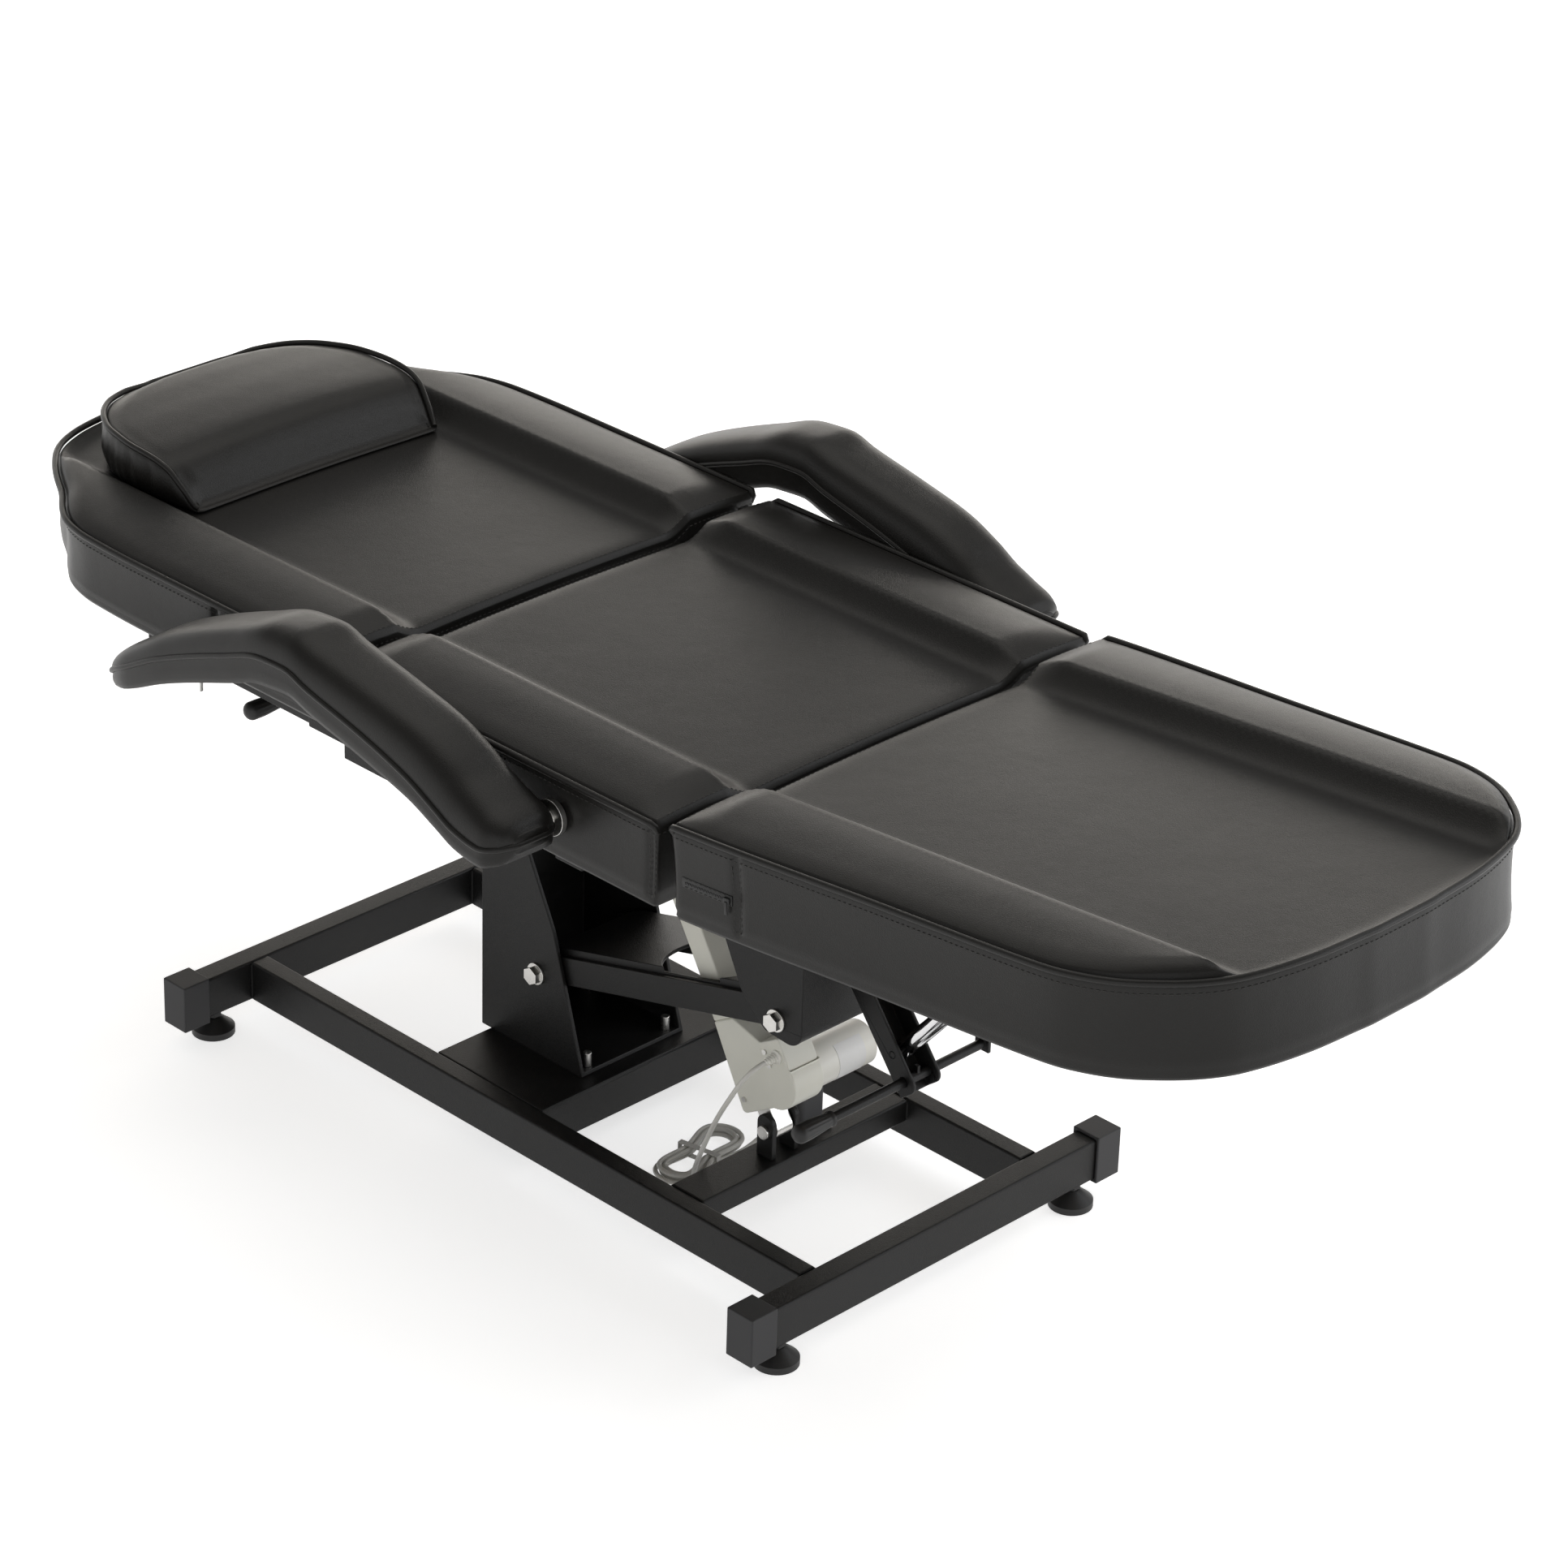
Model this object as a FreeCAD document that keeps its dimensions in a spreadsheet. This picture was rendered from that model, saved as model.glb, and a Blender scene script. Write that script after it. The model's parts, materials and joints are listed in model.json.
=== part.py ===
import FreeCAD, Part
import math
import os
import re
import Sketcher

# Electric tattoo chair, millimetres. X runs across the chair, Y from the foot end to the head end and
# Z up. The origin is on the floor under the middle of the bed, which is 1850 mm long.
Vector = FreeCAD.Vector
doc = FreeCAD.newDocument("TattooChair")

# Driving dimensions. Each becomes one cell of the sheet, under its own alias.
sizes = {
    # bed
    "bed_long": 1850, "bed_wide": 640, "pad_gap": 19, "board_thick": 15, "board_inset": 28,
    "overrun": 2, "fit_gap": 0.05, "soft_gap": 0.3,
    # base
    "base_foot_y": -354, "base_long": 950, "base_wide": 568, "floor_gap": 30, "tube_high": 50,
    "cross_deep": 30, "tube_wall": 2, "rail_x": 170, "rail_wide": 25, "cap_long": 37, "cap_wall": 4,
    "member_ahead": 21, "member_deep": 172, "member_tube_wide": 25, "member_plate_thick": 5,
    "drive_tube_y": -155, "drive_tube_deep": 50, "drive_tube_high": 28,
    "foot_in": 56, "foot_radius": 25, "foot_rim_high": 8, "foot_neck_radius": 9, "foot_high": 21,
    "foot_stud_radius": 5, "foot_stud_long": 40, "foot_nut_wide": 17, "foot_nut_high": 8,
    # pillar
    "pillar_ahead": 75, "pillar_deep": 166, "pillar_wide": 156, "pillar_high": 320,
    "sheet_thick": 5, "pillar_round": 60, "stud_x": 60, "stud_inset": 11, "stud_radius": 5,
    "stud_high": 22, "stud_nut_wide": 17, "stud_nut_high": 9,
    # lift arm and upper link
    "seat_pivot_y": -176.99, "arm_pivot_z": 182, "arm_long": 385.2, "arm_lean": 15.05, "arm_wide": 140,
    "bar_thick": 6.5, "bar_low": 12, "bar_up": 21.5, "bar_end": 20, "channel_top": 30,
    "channel_wall": 4, "channel_rear": 20, "channel_front": 14, "arm_hole_radius": 59,
    "arm_hole_x": -12, "arm_hole_share": 0.597, "arm_hole_long": 30,
    "link_up": 188, "link_back": 56, "link_high": 28, "link_thick": 6,
    "pivot_radius": 6, "pivot_nut_wide": 19, "pivot_nut_long": 8, "washer_radius": 13,
    "washer_thick": 3, "link_shaft_radius": 8, "clip_thick": 4,
    # seat bracket
    "bracket_wide": 154, "bracket_front_y": -214, "bracket_deep": 170, "bracket_below": 24.02,
    "bracket_round": 20, "web_hole_x": 17, "web_hole_up": 150, "web_hole_radius": 27,
    # drive
    "drive_x": -25, "drive_pin_y": -134, "drive_pin_z": 112, "drive_lean": 30.8, "drive_long": 392.7,
    "pin_radius": 5, "ear_thick": 7, "ear_gap": 27.5, "ear_deep": 24, "ear_top": 20,
    "pin_head_radius": 8, "pin_head_thick": 4, "tongue_wide": 24, "tongue_deep": 22,
    "gearbox_wide": 45, "gearbox_deep": 44, "gearbox_start": 24, "gearbox_end": 130,
    "gearbox_draft": 6, "motor_offset": 46, "motor_along": 52, "motor_radius": 26, "motor_long": 88,
    "motor_boss_radius": 32, "neck_wide": 44, "neck_deep": 32, "neck_long": 24, "column_wide": 40,
    "column_deep": 30, "column_end": 338, "rod_radius": 12, "rod_bore": 8.5, "rod_start": 134,
    "eye_radius": 15, "eye_wide": 30, "screw_radius": 7, "screw_end": 325, "nut_long": 24,
    "cheek_gap": 44, "cheek_thick": 5, "cheek_deep": 44, "gland_along": 79,
    "gland_offset": 66, "gland_radius": 8, "gland_long": 10, "terminal_deep": 44,
    "terminal_long": 38, "cover_screw_radius": 3, "cover_screw_high": 2,
    # control box
    "box_x": 45, "box_y": -92, "box_wide": 40, "box_deep": 52, "box_high": 40,
    "box_tab_deep": 20, "box_tab_thick": 3, "box_round": 8, "box_screw_radius": 4,
    "socket_radius": 8, "socket_long": 8, "socket_z": 96,
    # seat
    "seat_foot_y": -240, "seat_head_y": 246, "hem_z": 528, "piping_z": 623, "seat_tube": 30,
    "seat_tube_x": 190, "seat_wall": 2, "frame_set": 10, "lug_tube_y": 52, "bracket_tube_y": -80,
    "arm_post_thick": 6, "arm_post_x": 297, "arm_post_deep": 40, "arm_post_up": 18, "arm_post_set": 14,
    # leg rest
    "leg_hinge_y": -247, "leg_hinge_z": 516, "leg_lean": 4.6, "leg_tube": 25, "leg_tube_x": 150,
    "leg_frame_long": 520, "leg_gap": 22, "leg_thick": 103, "leg_hinge_radius": 10,
    "leg_hinge_pin": 4, "leg_ear_thick": 6, "leg_tongue_long": 24,
    "spring_y": -293, "spring_z": 268, "spring_lean": 40, "spring_long": 315,
    "spring_can_radius": 10, "spring_rod_radius": 5, "leg_can_long": 176, "leg_rod_in": 148,
    "spring_eye_radius": 10, "spring_eye_wide": 16, "spring_pin_radius": 4, "spring_loose": 3.5,
    "holder_y": -310, "holder_z": 242, "holder_lean": 37.7, "holder_wide": 42, "holder_wall": 4,
    "holder_half_deep": 14, "holder_long": 170, "holder_low": 15,
    "lever_radius": 5.5, "leg_lever_near_x": -182, "leg_lever_far_x": 104, "grip_long": 54,
    "grip_radius": 10.5, "grip_rib_gap": 6, "tab_thick": 4, "tab_high": 34, "tab_wide": 20,
    # back
    "back_hinge_y": 255.5, "back_hinge_up": 71, "back_hinge_radius": 7.3, "back_hinge_pin": 4,
    "hinge_plate_x": 285, "hinge_plate_thick": 5, "hinge_plate_foot": 62, "back_hem_z": 540,
    "back_piping_z": 622, "back_tube_wide": 25, "back_tube_high": 30, "back_frame_long": 330,
    "back_spring_x": 120, "back_spring_low_y": 269, "back_spring_low_z": 346,
    "back_spring_up_y": 492, "back_spring_up_z": 490, "back_can_long": 248, "back_rod_in": 22,
    "spring_lug_thick": 5, "spring_lug_gap": 22,
    "spring_lug_half": 12, "back_lever_y": 430, "back_lever_z": 488, "back_lever_near_x": -292,
    "back_lever_far_x": 104, "back_lever_lug_x": 232, "lever_lug_thick": 8, "lever_lug_deep": 26,
    # soft parts
    "bolster_wide": 116, "bolster_crown": 13, "trough_deep": 11, "side_draw": 4,
    "pillow_front_y": 649, "pillow_long": 237, "pillow_wide": 380, "pillow_high": 62,
    # cord
    "cord_radius": 2.75, "cord_floor": 1.6, "hank_x": -9, "hank_y": 2, "hank_turn": 10.7,
    "hank_straight": 34, "hank_inner": 17.5, "hank_step": 7, "hank_waist": 8.6,
    "hank_waist_step": 7, "hank_layer": 6.1, "tie_wide": 7, "tie_thick": 1.2,
    # armrests
    "armrest_gap": 8, "armrest_wide": 93, "armrest_hub_y": -92, "armrest_hub_z": 578,
    "armrest_long": 649, "armrest_rise": 90, "armrest_crown": 40, "armrest_band": 32,
    "armrest_front": 26, "armrest_collar_radius": 20, "armrest_shaft_radius": 8,
    "armrest_shaft_in": 45,
}
sheet = doc.addObject("Spreadsheet::Sheet", "Sizes")
for row, (alias, number) in enumerate(sizes.items(), start=1):
    sheet.set(f"A{row}", alias)
    sheet.set(f"B{row}", str(number))
    sheet.setAlias(f"B{row}", alias)

# Places that follow from the driving dimensions, in a second sheet.
places = {
    "tube_top": "floor_gap + tube_high",
    "base_head_y": "base_foot_y + base_long",
    "cross_half": "base_wide / 2 - cap_wall",
    "foot_row_y": "base_foot_y + cross_deep / 2",
    "head_row_y": "base_head_y - cross_deep / 2",
    "rail_gap": "rail_x * 2 - rail_wide",
    "foot_x": "base_wide / 2 - foot_in",
    "arm_pivot_y": "seat_pivot_y + arm_long * cos(arm_lean * 1 deg)",
    "pillar_front_y": "arm_pivot_y - pillar_ahead",
    "pillar_back_y": "pillar_front_y + pillar_deep",
    "member_y": "pillar_front_y - member_ahead",
    "pillar_top": "tube_top + pillar_high",
    "bar_in": "arm_wide / 2 - bar_thick",
    "seat_pivot_z": "arm_pivot_z + arm_long * sin(arm_lean * 1 deg)",
    "bracket_low_z": "seat_pivot_z - bracket_below",
    "web_hole_z": "bracket_low_z + web_hole_up",
    "arm_hole_along": "arm_long * arm_hole_share",
    "link_pillar_y": "arm_pivot_y + link_back",
    "link_pillar_z": "arm_pivot_z + link_up",
    "link_seat_y": "seat_pivot_y + link_back",
    "link_seat_z": "seat_pivot_z + link_up",
    "frame_low": "hem_z - seat_tube",
    "drive_top_y": "drive_pin_y + drive_long * sin(drive_lean * 1 deg)",
    "drive_top_z": "drive_pin_z + drive_long * cos(drive_lean * 1 deg)",
    "back_foot_y": "seat_head_y + pad_gap",
    "bed_foot_y": "-bed_long / 2",
    "bed_head_y": "bed_long / 2",
    "spring_top_y": "spring_y - spring_long * sin(spring_lean * 1 deg)",
    "spring_top_z": "spring_z + spring_long * cos(spring_lean * 1 deg)",
    "back_spring_long": "sqrt((back_spring_up_y - back_spring_low_y) ^ 2"
                        " + (back_spring_up_z - back_spring_low_z) ^ 2)",
    "back_spring_lean": "acos((back_spring_up_z - back_spring_low_z) / back_spring_long) / 1 deg",
    "back_frame_low": "back_hem_z - back_tube_high",
    "back_hinge_z": "back_hem_z + back_hinge_up",
    "leg_root_y": "seat_foot_y - leg_gap",
    "leg_long": "(leg_root_y - bed_foot_y) / cos(leg_lean * 1 deg)",
    "back_long": "bed_head_y - back_foot_y",
    "seat_long": "seat_head_y - seat_foot_y",
    "armrest_in": "bed_wide / 2 + armrest_gap",
}
ALIAS = re.compile(r"[A-Za-z_]\w*")


def full(formula):
    """The formula with each alias written with the sheet it is in."""
    def owner(match):
        word = match.group(0)
        if word in sizes:
            return f"Sizes.{word}"
        return f"Places.{word}" if word in places else word
    return ALIAS.sub(owner, str(formula))


place_sheet = doc.addObject("Spreadsheet::Sheet", "Places")
for row, (alias, formula) in enumerate(places.items(), start=1):
    place_sheet.set(f"A{row}", alias)
    place_sheet.set(f"B{row}", "=" + full(formula).replace("Places.", ""))
    place_sheet.setAlias(f"B{row}", alias)
doc.recompute()


def val(formula):
    """The present value of a formula in the sizes."""
    return float(sheet.evalExpression(full(formula)))


# Helpers for bound objects
def add(kind, label):
    """A document object under its label."""
    thing = doc.addObject(kind, label)
    thing.Label = label
    return thing


def bind(thing, path, formula):
    thing.setExpression(path, full(formula))


def place(thing, at=("0", "0", "0"), turn=None, lean=None):
    """Bind a placement. turn is a fixed quarter turn, lean a bound turn about X in degrees."""
    if turn:
        thing.Placement = FreeCAD.Placement(Vector(), FreeCAD.Rotation(*turn))
    if lean:
        thing.Placement = FreeCAD.Placement(Vector(), FreeCAD.Rotation(Vector(1, 0, 0), 0))
        bind(thing, "Placement.Rotation.Angle", f"({lean}) * 1 deg")
    for axis, formula in zip("xyz", at):
        bind(thing, f"Placement.Base.{axis}", formula)
    return thing


def box(label, size, at):
    """A box from its low corner."""
    thing = add("Part::Box", label)
    for path, formula in zip(("Length", "Width", "Height"), size):
        bind(thing, path, formula)
    return place(thing, at)


def cylinder(label, radius, length, at, along="Z"):
    """A cylinder from its low end, along a row axis."""
    thing = add("Part::Cylinder", label)
    bind(thing, "Radius", radius)
    bind(thing, "Height", length)
    turns = {"X": (Vector(0, 1, 0), 90), "Y": (Vector(1, 0, 0), -90), "Z": None}
    return place(thing, at, turns[along])


def nut(label, wide, high, at, along="Z"):
    """A hexagon of a given width across flats."""
    thing = add("Part::Prism", label)
    thing.Polygon = 6
    bind(thing, "Circumradius", f"{wide} / sqrt(3)")
    bind(thing, "Height", high)
    turns = {"X": (Vector(0, 1, 0), 90), "Y": (Vector(1, 0, 0), -90), "Z": None}
    return place(thing, at, turns[along])


def cut(label, base, *tools):
    thing = add("Part::Cut", label)
    thing.Base = base
    thing.Tool = tools[0] if len(tools) == 1 else join(label + "_tools", *tools)
    return thing


def join(label, *parts):
    """Several shapes made one solid."""
    thing = add("Part::MultiFuse", label)
    thing.Shapes = list(parts)
    return thing


def group(label, *parts):
    """Several separate solids in one piece."""
    thing = add("Part::Compound", label)
    thing.Links = list(parts)
    return thing


def mirrored(label, source):
    """The same piece on the other side of the chair's middle plane."""
    thing = add("Part::Mirroring", label)
    thing.Source = source
    thing.Normal = Vector(1, 0, 0)
    return thing


def pair(label, source):
    return group(label, source, mirrored(label + "_far", source))


def at_corner(edge, corner, role):
    """Whether an edge stands on a sketch corner, square to its plane."""
    for vertex in edge.Vertexes:
        point = vertex.Point
        flat = {"YZ_Plane": (point.y, point.z), "XZ_Plane": (point.x, point.z),
                "XY_Plane": (point.x, point.y)}[role]
        if math.dist(flat, corner) > 1e-4:
            return False
    return len(edge.Vertexes) == 2


def plate(label, role, outline, thick, holes=(), at=("0", "0", "0"), lean=None, one_way=False):
    """A padded sketch. Outline points are formula pairs, with a third formula for a round corner."""
    body = add("PartDesign::Body", label)
    sketch = body.newObject("Sketcher::SketchObject", label + "_sketch")
    origin_plane = [item for item in body.Origin.OriginFeatures if item.Role == role][0]
    sketch.AttachmentSupport = (origin_plane, [""])
    sketch.MapMode = "FlatFace"
    points = [(val(point[0]), val(point[1])) for point in outline]
    count = len(points)
    for number, (x, y) in enumerate(points):
        next_x, next_y = points[(number + 1) % count]
        sketch.addGeometry(Part.LineSegment(Vector(x, y, 0), Vector(next_x, next_y, 0)), False)
    for number in range(count):
        sketch.addConstraint(Sketcher.Constraint("Coincident", number, 2, (number + 1) % count, 1))
    for number, point in enumerate(outline):
        pin_down(sketch, number, 1, point)
    for number, (x, y, radius) in enumerate(holes, start=count):
        circle = Part.Circle(Vector(val(x), val(y), 0), Vector(0, 0, 1), val(radius))
        sketch.addGeometry(circle, False)
        pin_down(sketch, number, 3, (x, y))
        mark = sketch.addConstraint(Sketcher.Constraint("Radius", number, val(radius)))
        sketch.setExpression(f"Constraints[{mark}]", full(radius))
    pad = body.newObject("PartDesign::Pad", label + "_pad")
    pad.Profile = sketch
    pad.Midplane = not one_way
    bind(pad, "Length", thick)
    doc.recompute()
    for radius in sorted({point[2] for point in outline if len(point) > 2}):
        tip = body.Tip
        corners = [(val(point[0]), val(point[1])) for point in outline if point[2:] == (radius,)]
        names = [f"Edge{number}" for number, edge in enumerate(tip.Shape.Edges, start=1)
                 if any(at_corner(edge, corner, role) for corner in corners)]
        fillet = body.newObject("PartDesign::Fillet", label + "_round")
        fillet.Base = (tip, names)
        bind(fillet, "Radius", radius)
        doc.recompute()
    return place(body, at, lean=lean)


def pin_down(sketch, element, point, formulas):
    """Hold a sketch point at two bound distances from the origin."""
    for kind, formula in zip(("DistanceX", "DistanceY"), formulas):
        mark = sketch.addConstraint(
            Sketcher.Constraint(kind, -1, 1, element, point, val(formula)))
        sketch.setExpression(f"Constraints[{mark}]", full(formula))


def square_tube(label, size, at, wall, along):
    """A hollow box section, open at both ends along one axis."""
    outer = box(label + "_outer", size, at)
    inner_size = [f"{part} - 2 * {wall}" for part in size]
    inner_at = [f"{part} + {wall}" for part in at]
    way = "XYZ".index(along)
    inner_size[way] = f"{size[way]} + 2 * overrun"
    inner_at[way] = f"{at[way]} - overrun"
    return cut(label, outer, box(label + "_inner", inner_size, inner_at))


def lug_outline(y, z, half, top):
    """A strap with a round lower end about a pivot, hung from a height."""
    return [(f"{y} - {half}", top), (f"{y} - {half}", f"{z} - {half}", f"{half} * 0.98"),
            (f"{y} + {half}", f"{z} - {half}", f"{half} * 0.98"), (f"{y} + {half}", top)]


# Base
def cross_tube(label, y):
    """A cross tube of the base with a tapped hole in its underside for each foot's stud."""
    tube = square_tube(label + "_section", ("cross_half * 2", "cross_deep", "tube_high"),
                       ("-cross_half", y, "floor_gap"), "tube_wall", "X")
    holes = [cylinder(f"{label}_hole_{side}", "foot_stud_radius + fit_gap", "tube_wall + 2 * overrun",
                      (f"{side} * foot_x", f"{y} + cross_deep / 2", "floor_gap - overrun"))
             for side in (-1, 1)]
    return cut(label, tube, *holes)


def side_rail(label):
    size = ("rail_wide", "base_long - 2 * cross_deep", "tube_high")
    at = ("rail_x - rail_wide / 2", "base_foot_y + cross_deep", "floor_gap")
    return square_tube(label, size, at, "tube_wall", "Y")


def pillar_cross_members():
    """Two cross tubes under one plate, which the pillar stands on."""
    tubes = []
    low = ("rail_gap", "member_tube_wide", "tube_high - member_plate_thick")
    for name, y in (("front", "member_y"), ("rear", "member_y + member_deep - member_tube_wide")):
        tubes.append(square_tube(f"member_{name}", low, ("-rail_gap / 2", y, "floor_gap"),
                                 "tube_wall", "X"))
    deck = box("member_deck", ("rail_gap", "member_deep", "member_plate_thick"),
               ("-rail_gap / 2", "member_y", "tube_top - member_plate_thick"))
    return group("pillar_cross_members", *tubes, deck)


def end_caps():
    """Moulded sleeves over the four ends of the cross tubes."""
    caps = []
    for name, y in (("foot", "base_foot_y"), ("head", "base_head_y - cross_deep")):
        shell = box(f"cap_{name}_shell",
                    ("cap_long", "cross_deep + 2 * cap_wall", "tube_high + 2 * cap_wall"),
                    ("base_wide / 2 - cap_long", f"{y} - cap_wall", "floor_gap - cap_wall"))
        bore = box(f"cap_{name}_bore", ("cap_long", "cross_deep", "tube_high"),
                   ("base_wide / 2 - cap_long - cap_wall", y, "floor_gap"))
        cap = cut(f"cap_{name}", shell, bore)
        caps += [cap, mirrored(f"cap_{name}_far", cap)]
    return group("tube_end_caps", *caps)


def foot_turned(label):
    """A rubber foot turned about its stud: flat rim, dome and neck."""
    body = add("PartDesign::Body", label)
    sketch = body.newObject("Sketcher::SketchObject", label + "_sketch")
    origin_plane = [item for item in body.Origin.OriginFeatures if item.Role == "XZ_Plane"][0]
    sketch.AttachmentSupport = (origin_plane, [""])
    sketch.MapMode = "FlatFace"
    outline = [("0", "0"), ("foot_radius", "0"), ("foot_radius", "foot_rim_high"),
               ("foot_neck_radius", "foot_high"), ("0", "foot_high")]
    points = [(val(x), val(y)) for x, y in outline]
    for number, (x, y) in enumerate(points):
        next_x, next_y = points[(number + 1) % len(points)]
        sketch.addGeometry(Part.LineSegment(Vector(x, y, 0), Vector(next_x, next_y, 0)), False)
    for number in range(len(points)):
        follower = (number + 1) % len(points)
        sketch.addConstraint(Sketcher.Constraint("Coincident", number, 2, follower, 1))
        pin_down(sketch, number, 1, outline[number])
    turned = body.newObject("PartDesign::Revolution", label + "_turned")
    turned.Profile = sketch
    turned.ReferenceAxis = (sketch, ["V_Axis"])
    turned.Angle = 360
    doc.recompute()
    return body


def levelling_feet():
    """Four feet, each on a stud with a lock nut against the tube."""
    feet = []
    for side in (-1, 1):
        for name, y in (("foot", "foot_row_y"), ("head", "head_row_y")):
            label = f"leveller_{name}_{side + 1}"
            at = (f"{side} * foot_x", y, "0")
            pad = place(foot_turned(label + "_pad"), at)
            stud = cylinder(label + "_stud", "foot_stud_radius", "foot_stud_long",
                            (at[0], at[1], "foot_rim_high"))
            lock = nut(label + "_nut", "foot_nut_wide", "foot_nut_high",
                       (at[0], at[1], "floor_gap - foot_nut_high"))
            feet.append(join(label, pad, stud, lock))
    return group("levelling_feet", *feet)


def drive_cross_tube():
    return square_tube("drive_cross_tube", ("rail_gap", "drive_tube_deep", "drive_tube_high"),
                       ("-rail_gap / 2", "drive_tube_y", "tube_top - drive_tube_high"),
                       "tube_wall", "X")


# Pillar
pillar_front_shares = [(0, 0), (0.3, 0.52), (0.6, 0.83), (0.72, 1)]


def stud_places():
    for side in (-1, 1):
        for y in ("pillar_front_y + stud_inset", "pillar_back_y - sheet_thick - 2 * stud_inset"):
            yield f"{side} * stud_x", y


def pillar():
    """A sheet folded to a U, open towards the foot end, on a bolted flange."""
    outline = [(f"pillar_front_y + pillar_deep * {y}", f"tube_top + pillar_high * {z}", "pillar_round")
               if 0 < z < 1 else
               (f"pillar_front_y + pillar_deep * {y}", f"tube_top + pillar_high * {z}")
               for y, z in pillar_front_shares]
    outline += [("pillar_back_y", "pillar_top"), ("pillar_back_y", "tube_top")]
    holes = [("arm_pivot_y", "arm_pivot_z", "pivot_radius + fit_gap"),
             ("link_pillar_y", "link_pillar_z", "link_shaft_radius + fit_gap")]
    blank = plate("pillar_blank", "YZ_Plane", outline, "pillar_wide", holes)
    room = box("pillar_room",
               ("pillar_wide - 2 * sheet_thick", "pillar_deep - sheet_thick + overrun",
                "pillar_high + overrun"),
               ("sheet_thick - pillar_wide / 2", "pillar_front_y - overrun",
                "tube_top + sheet_thick"))
    studs = [cylinder(f"pillar_stud_hole_{number}", "stud_radius + fit_gap",
                      "sheet_thick + 2 * overrun", (x, y, "tube_top - overrun"))
             for number, (x, y) in enumerate(stud_places())]
    return cut("pillar", blank, room, *studs)


def pillar_studs():
    """Studs that stand on the deck, through the flange, with a nut each."""
    bolts = []
    for number, (x, y) in enumerate(stud_places()):
        stud = cylinder(f"stud_{number}_shank", "stud_radius", "stud_high", (x, y, "tube_top"))
        ring = nut(f"stud_{number}_nut", "stud_nut_wide", "stud_nut_high",
                   (x, y, "tube_top + sheet_thick"))
        bolts.append(join(f"stud_{number}", stud, ring) if number in (1, 3) else stud)
    return group("pillar_studs", *bolts)


# Pivot bolts run right across, with a washer between each plate and the arm.
def pivot_bolt(label, y, z, plate_half):
    shank_half = f"({plate_half} + washer_thick + pivot_nut_long)"
    shank = cylinder(label + "_shank", "pivot_radius", f"2 * {shank_half}",
                     (f"-{shank_half}", y, z), "X")
    ends = []
    for side, name in ((-1, "near"), (1, "far")):
        washer_x = f"-{plate_half} - washer_thick" if side < 0 else plate_half
        nut_x = (f"-{plate_half} - washer_thick - pivot_nut_long" if side < 0
                 else f"{plate_half} + washer_thick")
        ends.append(cylinder(f"{label}_washer_{name}", "washer_radius", "washer_thick",
                             (washer_x, y, z), "X"))
        ends.append(nut(f"{label}_nut_{name}", "pivot_nut_wide", "pivot_nut_long",
                        (nut_x, y, z), "X"))
    return join(label, shank, *ends)


def spacer_ring(label, y, z, outer_half, bore):
    """A ring that fills the gap between a plate's inner face and the arm."""
    long = f"({outer_half} - sheet_thick - arm_wide / 2)"
    ring = cylinder(label + "_ring", "washer_radius", f"{long} - fit_gap",
                    ("arm_wide / 2 + fit_gap", y, z), "X")
    hole = cylinder(label + "_bore", f"{bore} + fit_gap", f"{long} + 2 * overrun",
                    ("arm_wide / 2 - overrun", y, z), "X")
    return pair(label, cut(label + "_near", ring, hole))


# Lift arm, drawn level in its own frame with its lower pivot at the origin and the foot end at -Y
def arm_side_bars():
    outline = [("bar_end", "-bar_low", "bar_low"), ("bar_end", "bar_up", "bar_low"),
               ("-arm_long - bar_end", "bar_up", "bar_low"),
               ("-arm_long - bar_end", "-bar_low", "bar_low")]
    holes = [("0", "0", "pivot_radius + fit_gap"), ("-arm_long", "0", "pivot_radius + fit_gap")]
    bar = plate("arm_bar", "YZ_Plane", outline, "bar_thick", holes,
                at=("(arm_wide - bar_thick) / 2", "0", "0"))
    bars = pair("arm_side_bars", bar)
    return place(bars, ("0", "arm_pivot_y", "arm_pivot_z"), lean="-arm_lean")


def arm_channel():
    """The folded plate between the bars, with a long hole that the drive column passes through."""
    long = "(arm_long - channel_rear - channel_front)"
    outer = box("channel_outer", ("2 * bar_in", long, "bar_low + channel_top"),
                ("-bar_in", "-arm_long + channel_front", "-bar_low"))
    inner = box("channel_inner",
                ("2 * (bar_in - channel_wall)", f"{long} + 2 * overrun",
                 "bar_low + channel_top - channel_wall + overrun"),
                ("channel_wall - bar_in", "-arm_long + channel_front - overrun", "-bar_low - overrun"))
    ends = [cylinder(f"arm_hole_{number}", "arm_hole_radius", "channel_wall + 2 * overrun",
                     ("arm_hole_x", f"-arm_hole_along - arm_hole_long * {number}",
                      "channel_top - channel_wall - overrun")) for number in (0, 1)]
    middle = box("arm_hole_middle",
                 ("2 * arm_hole_radius", "arm_hole_long", "channel_wall + 2 * overrun"),
                 ("arm_hole_x - arm_hole_radius", "-arm_hole_along - arm_hole_long",
                  "channel_top - channel_wall - overrun"))
    channel = cut("arm_channel", outer, inner, *ends, middle)
    return place(channel, ("0", "arm_pivot_y", "arm_pivot_z"), lean="-arm_lean")


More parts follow.
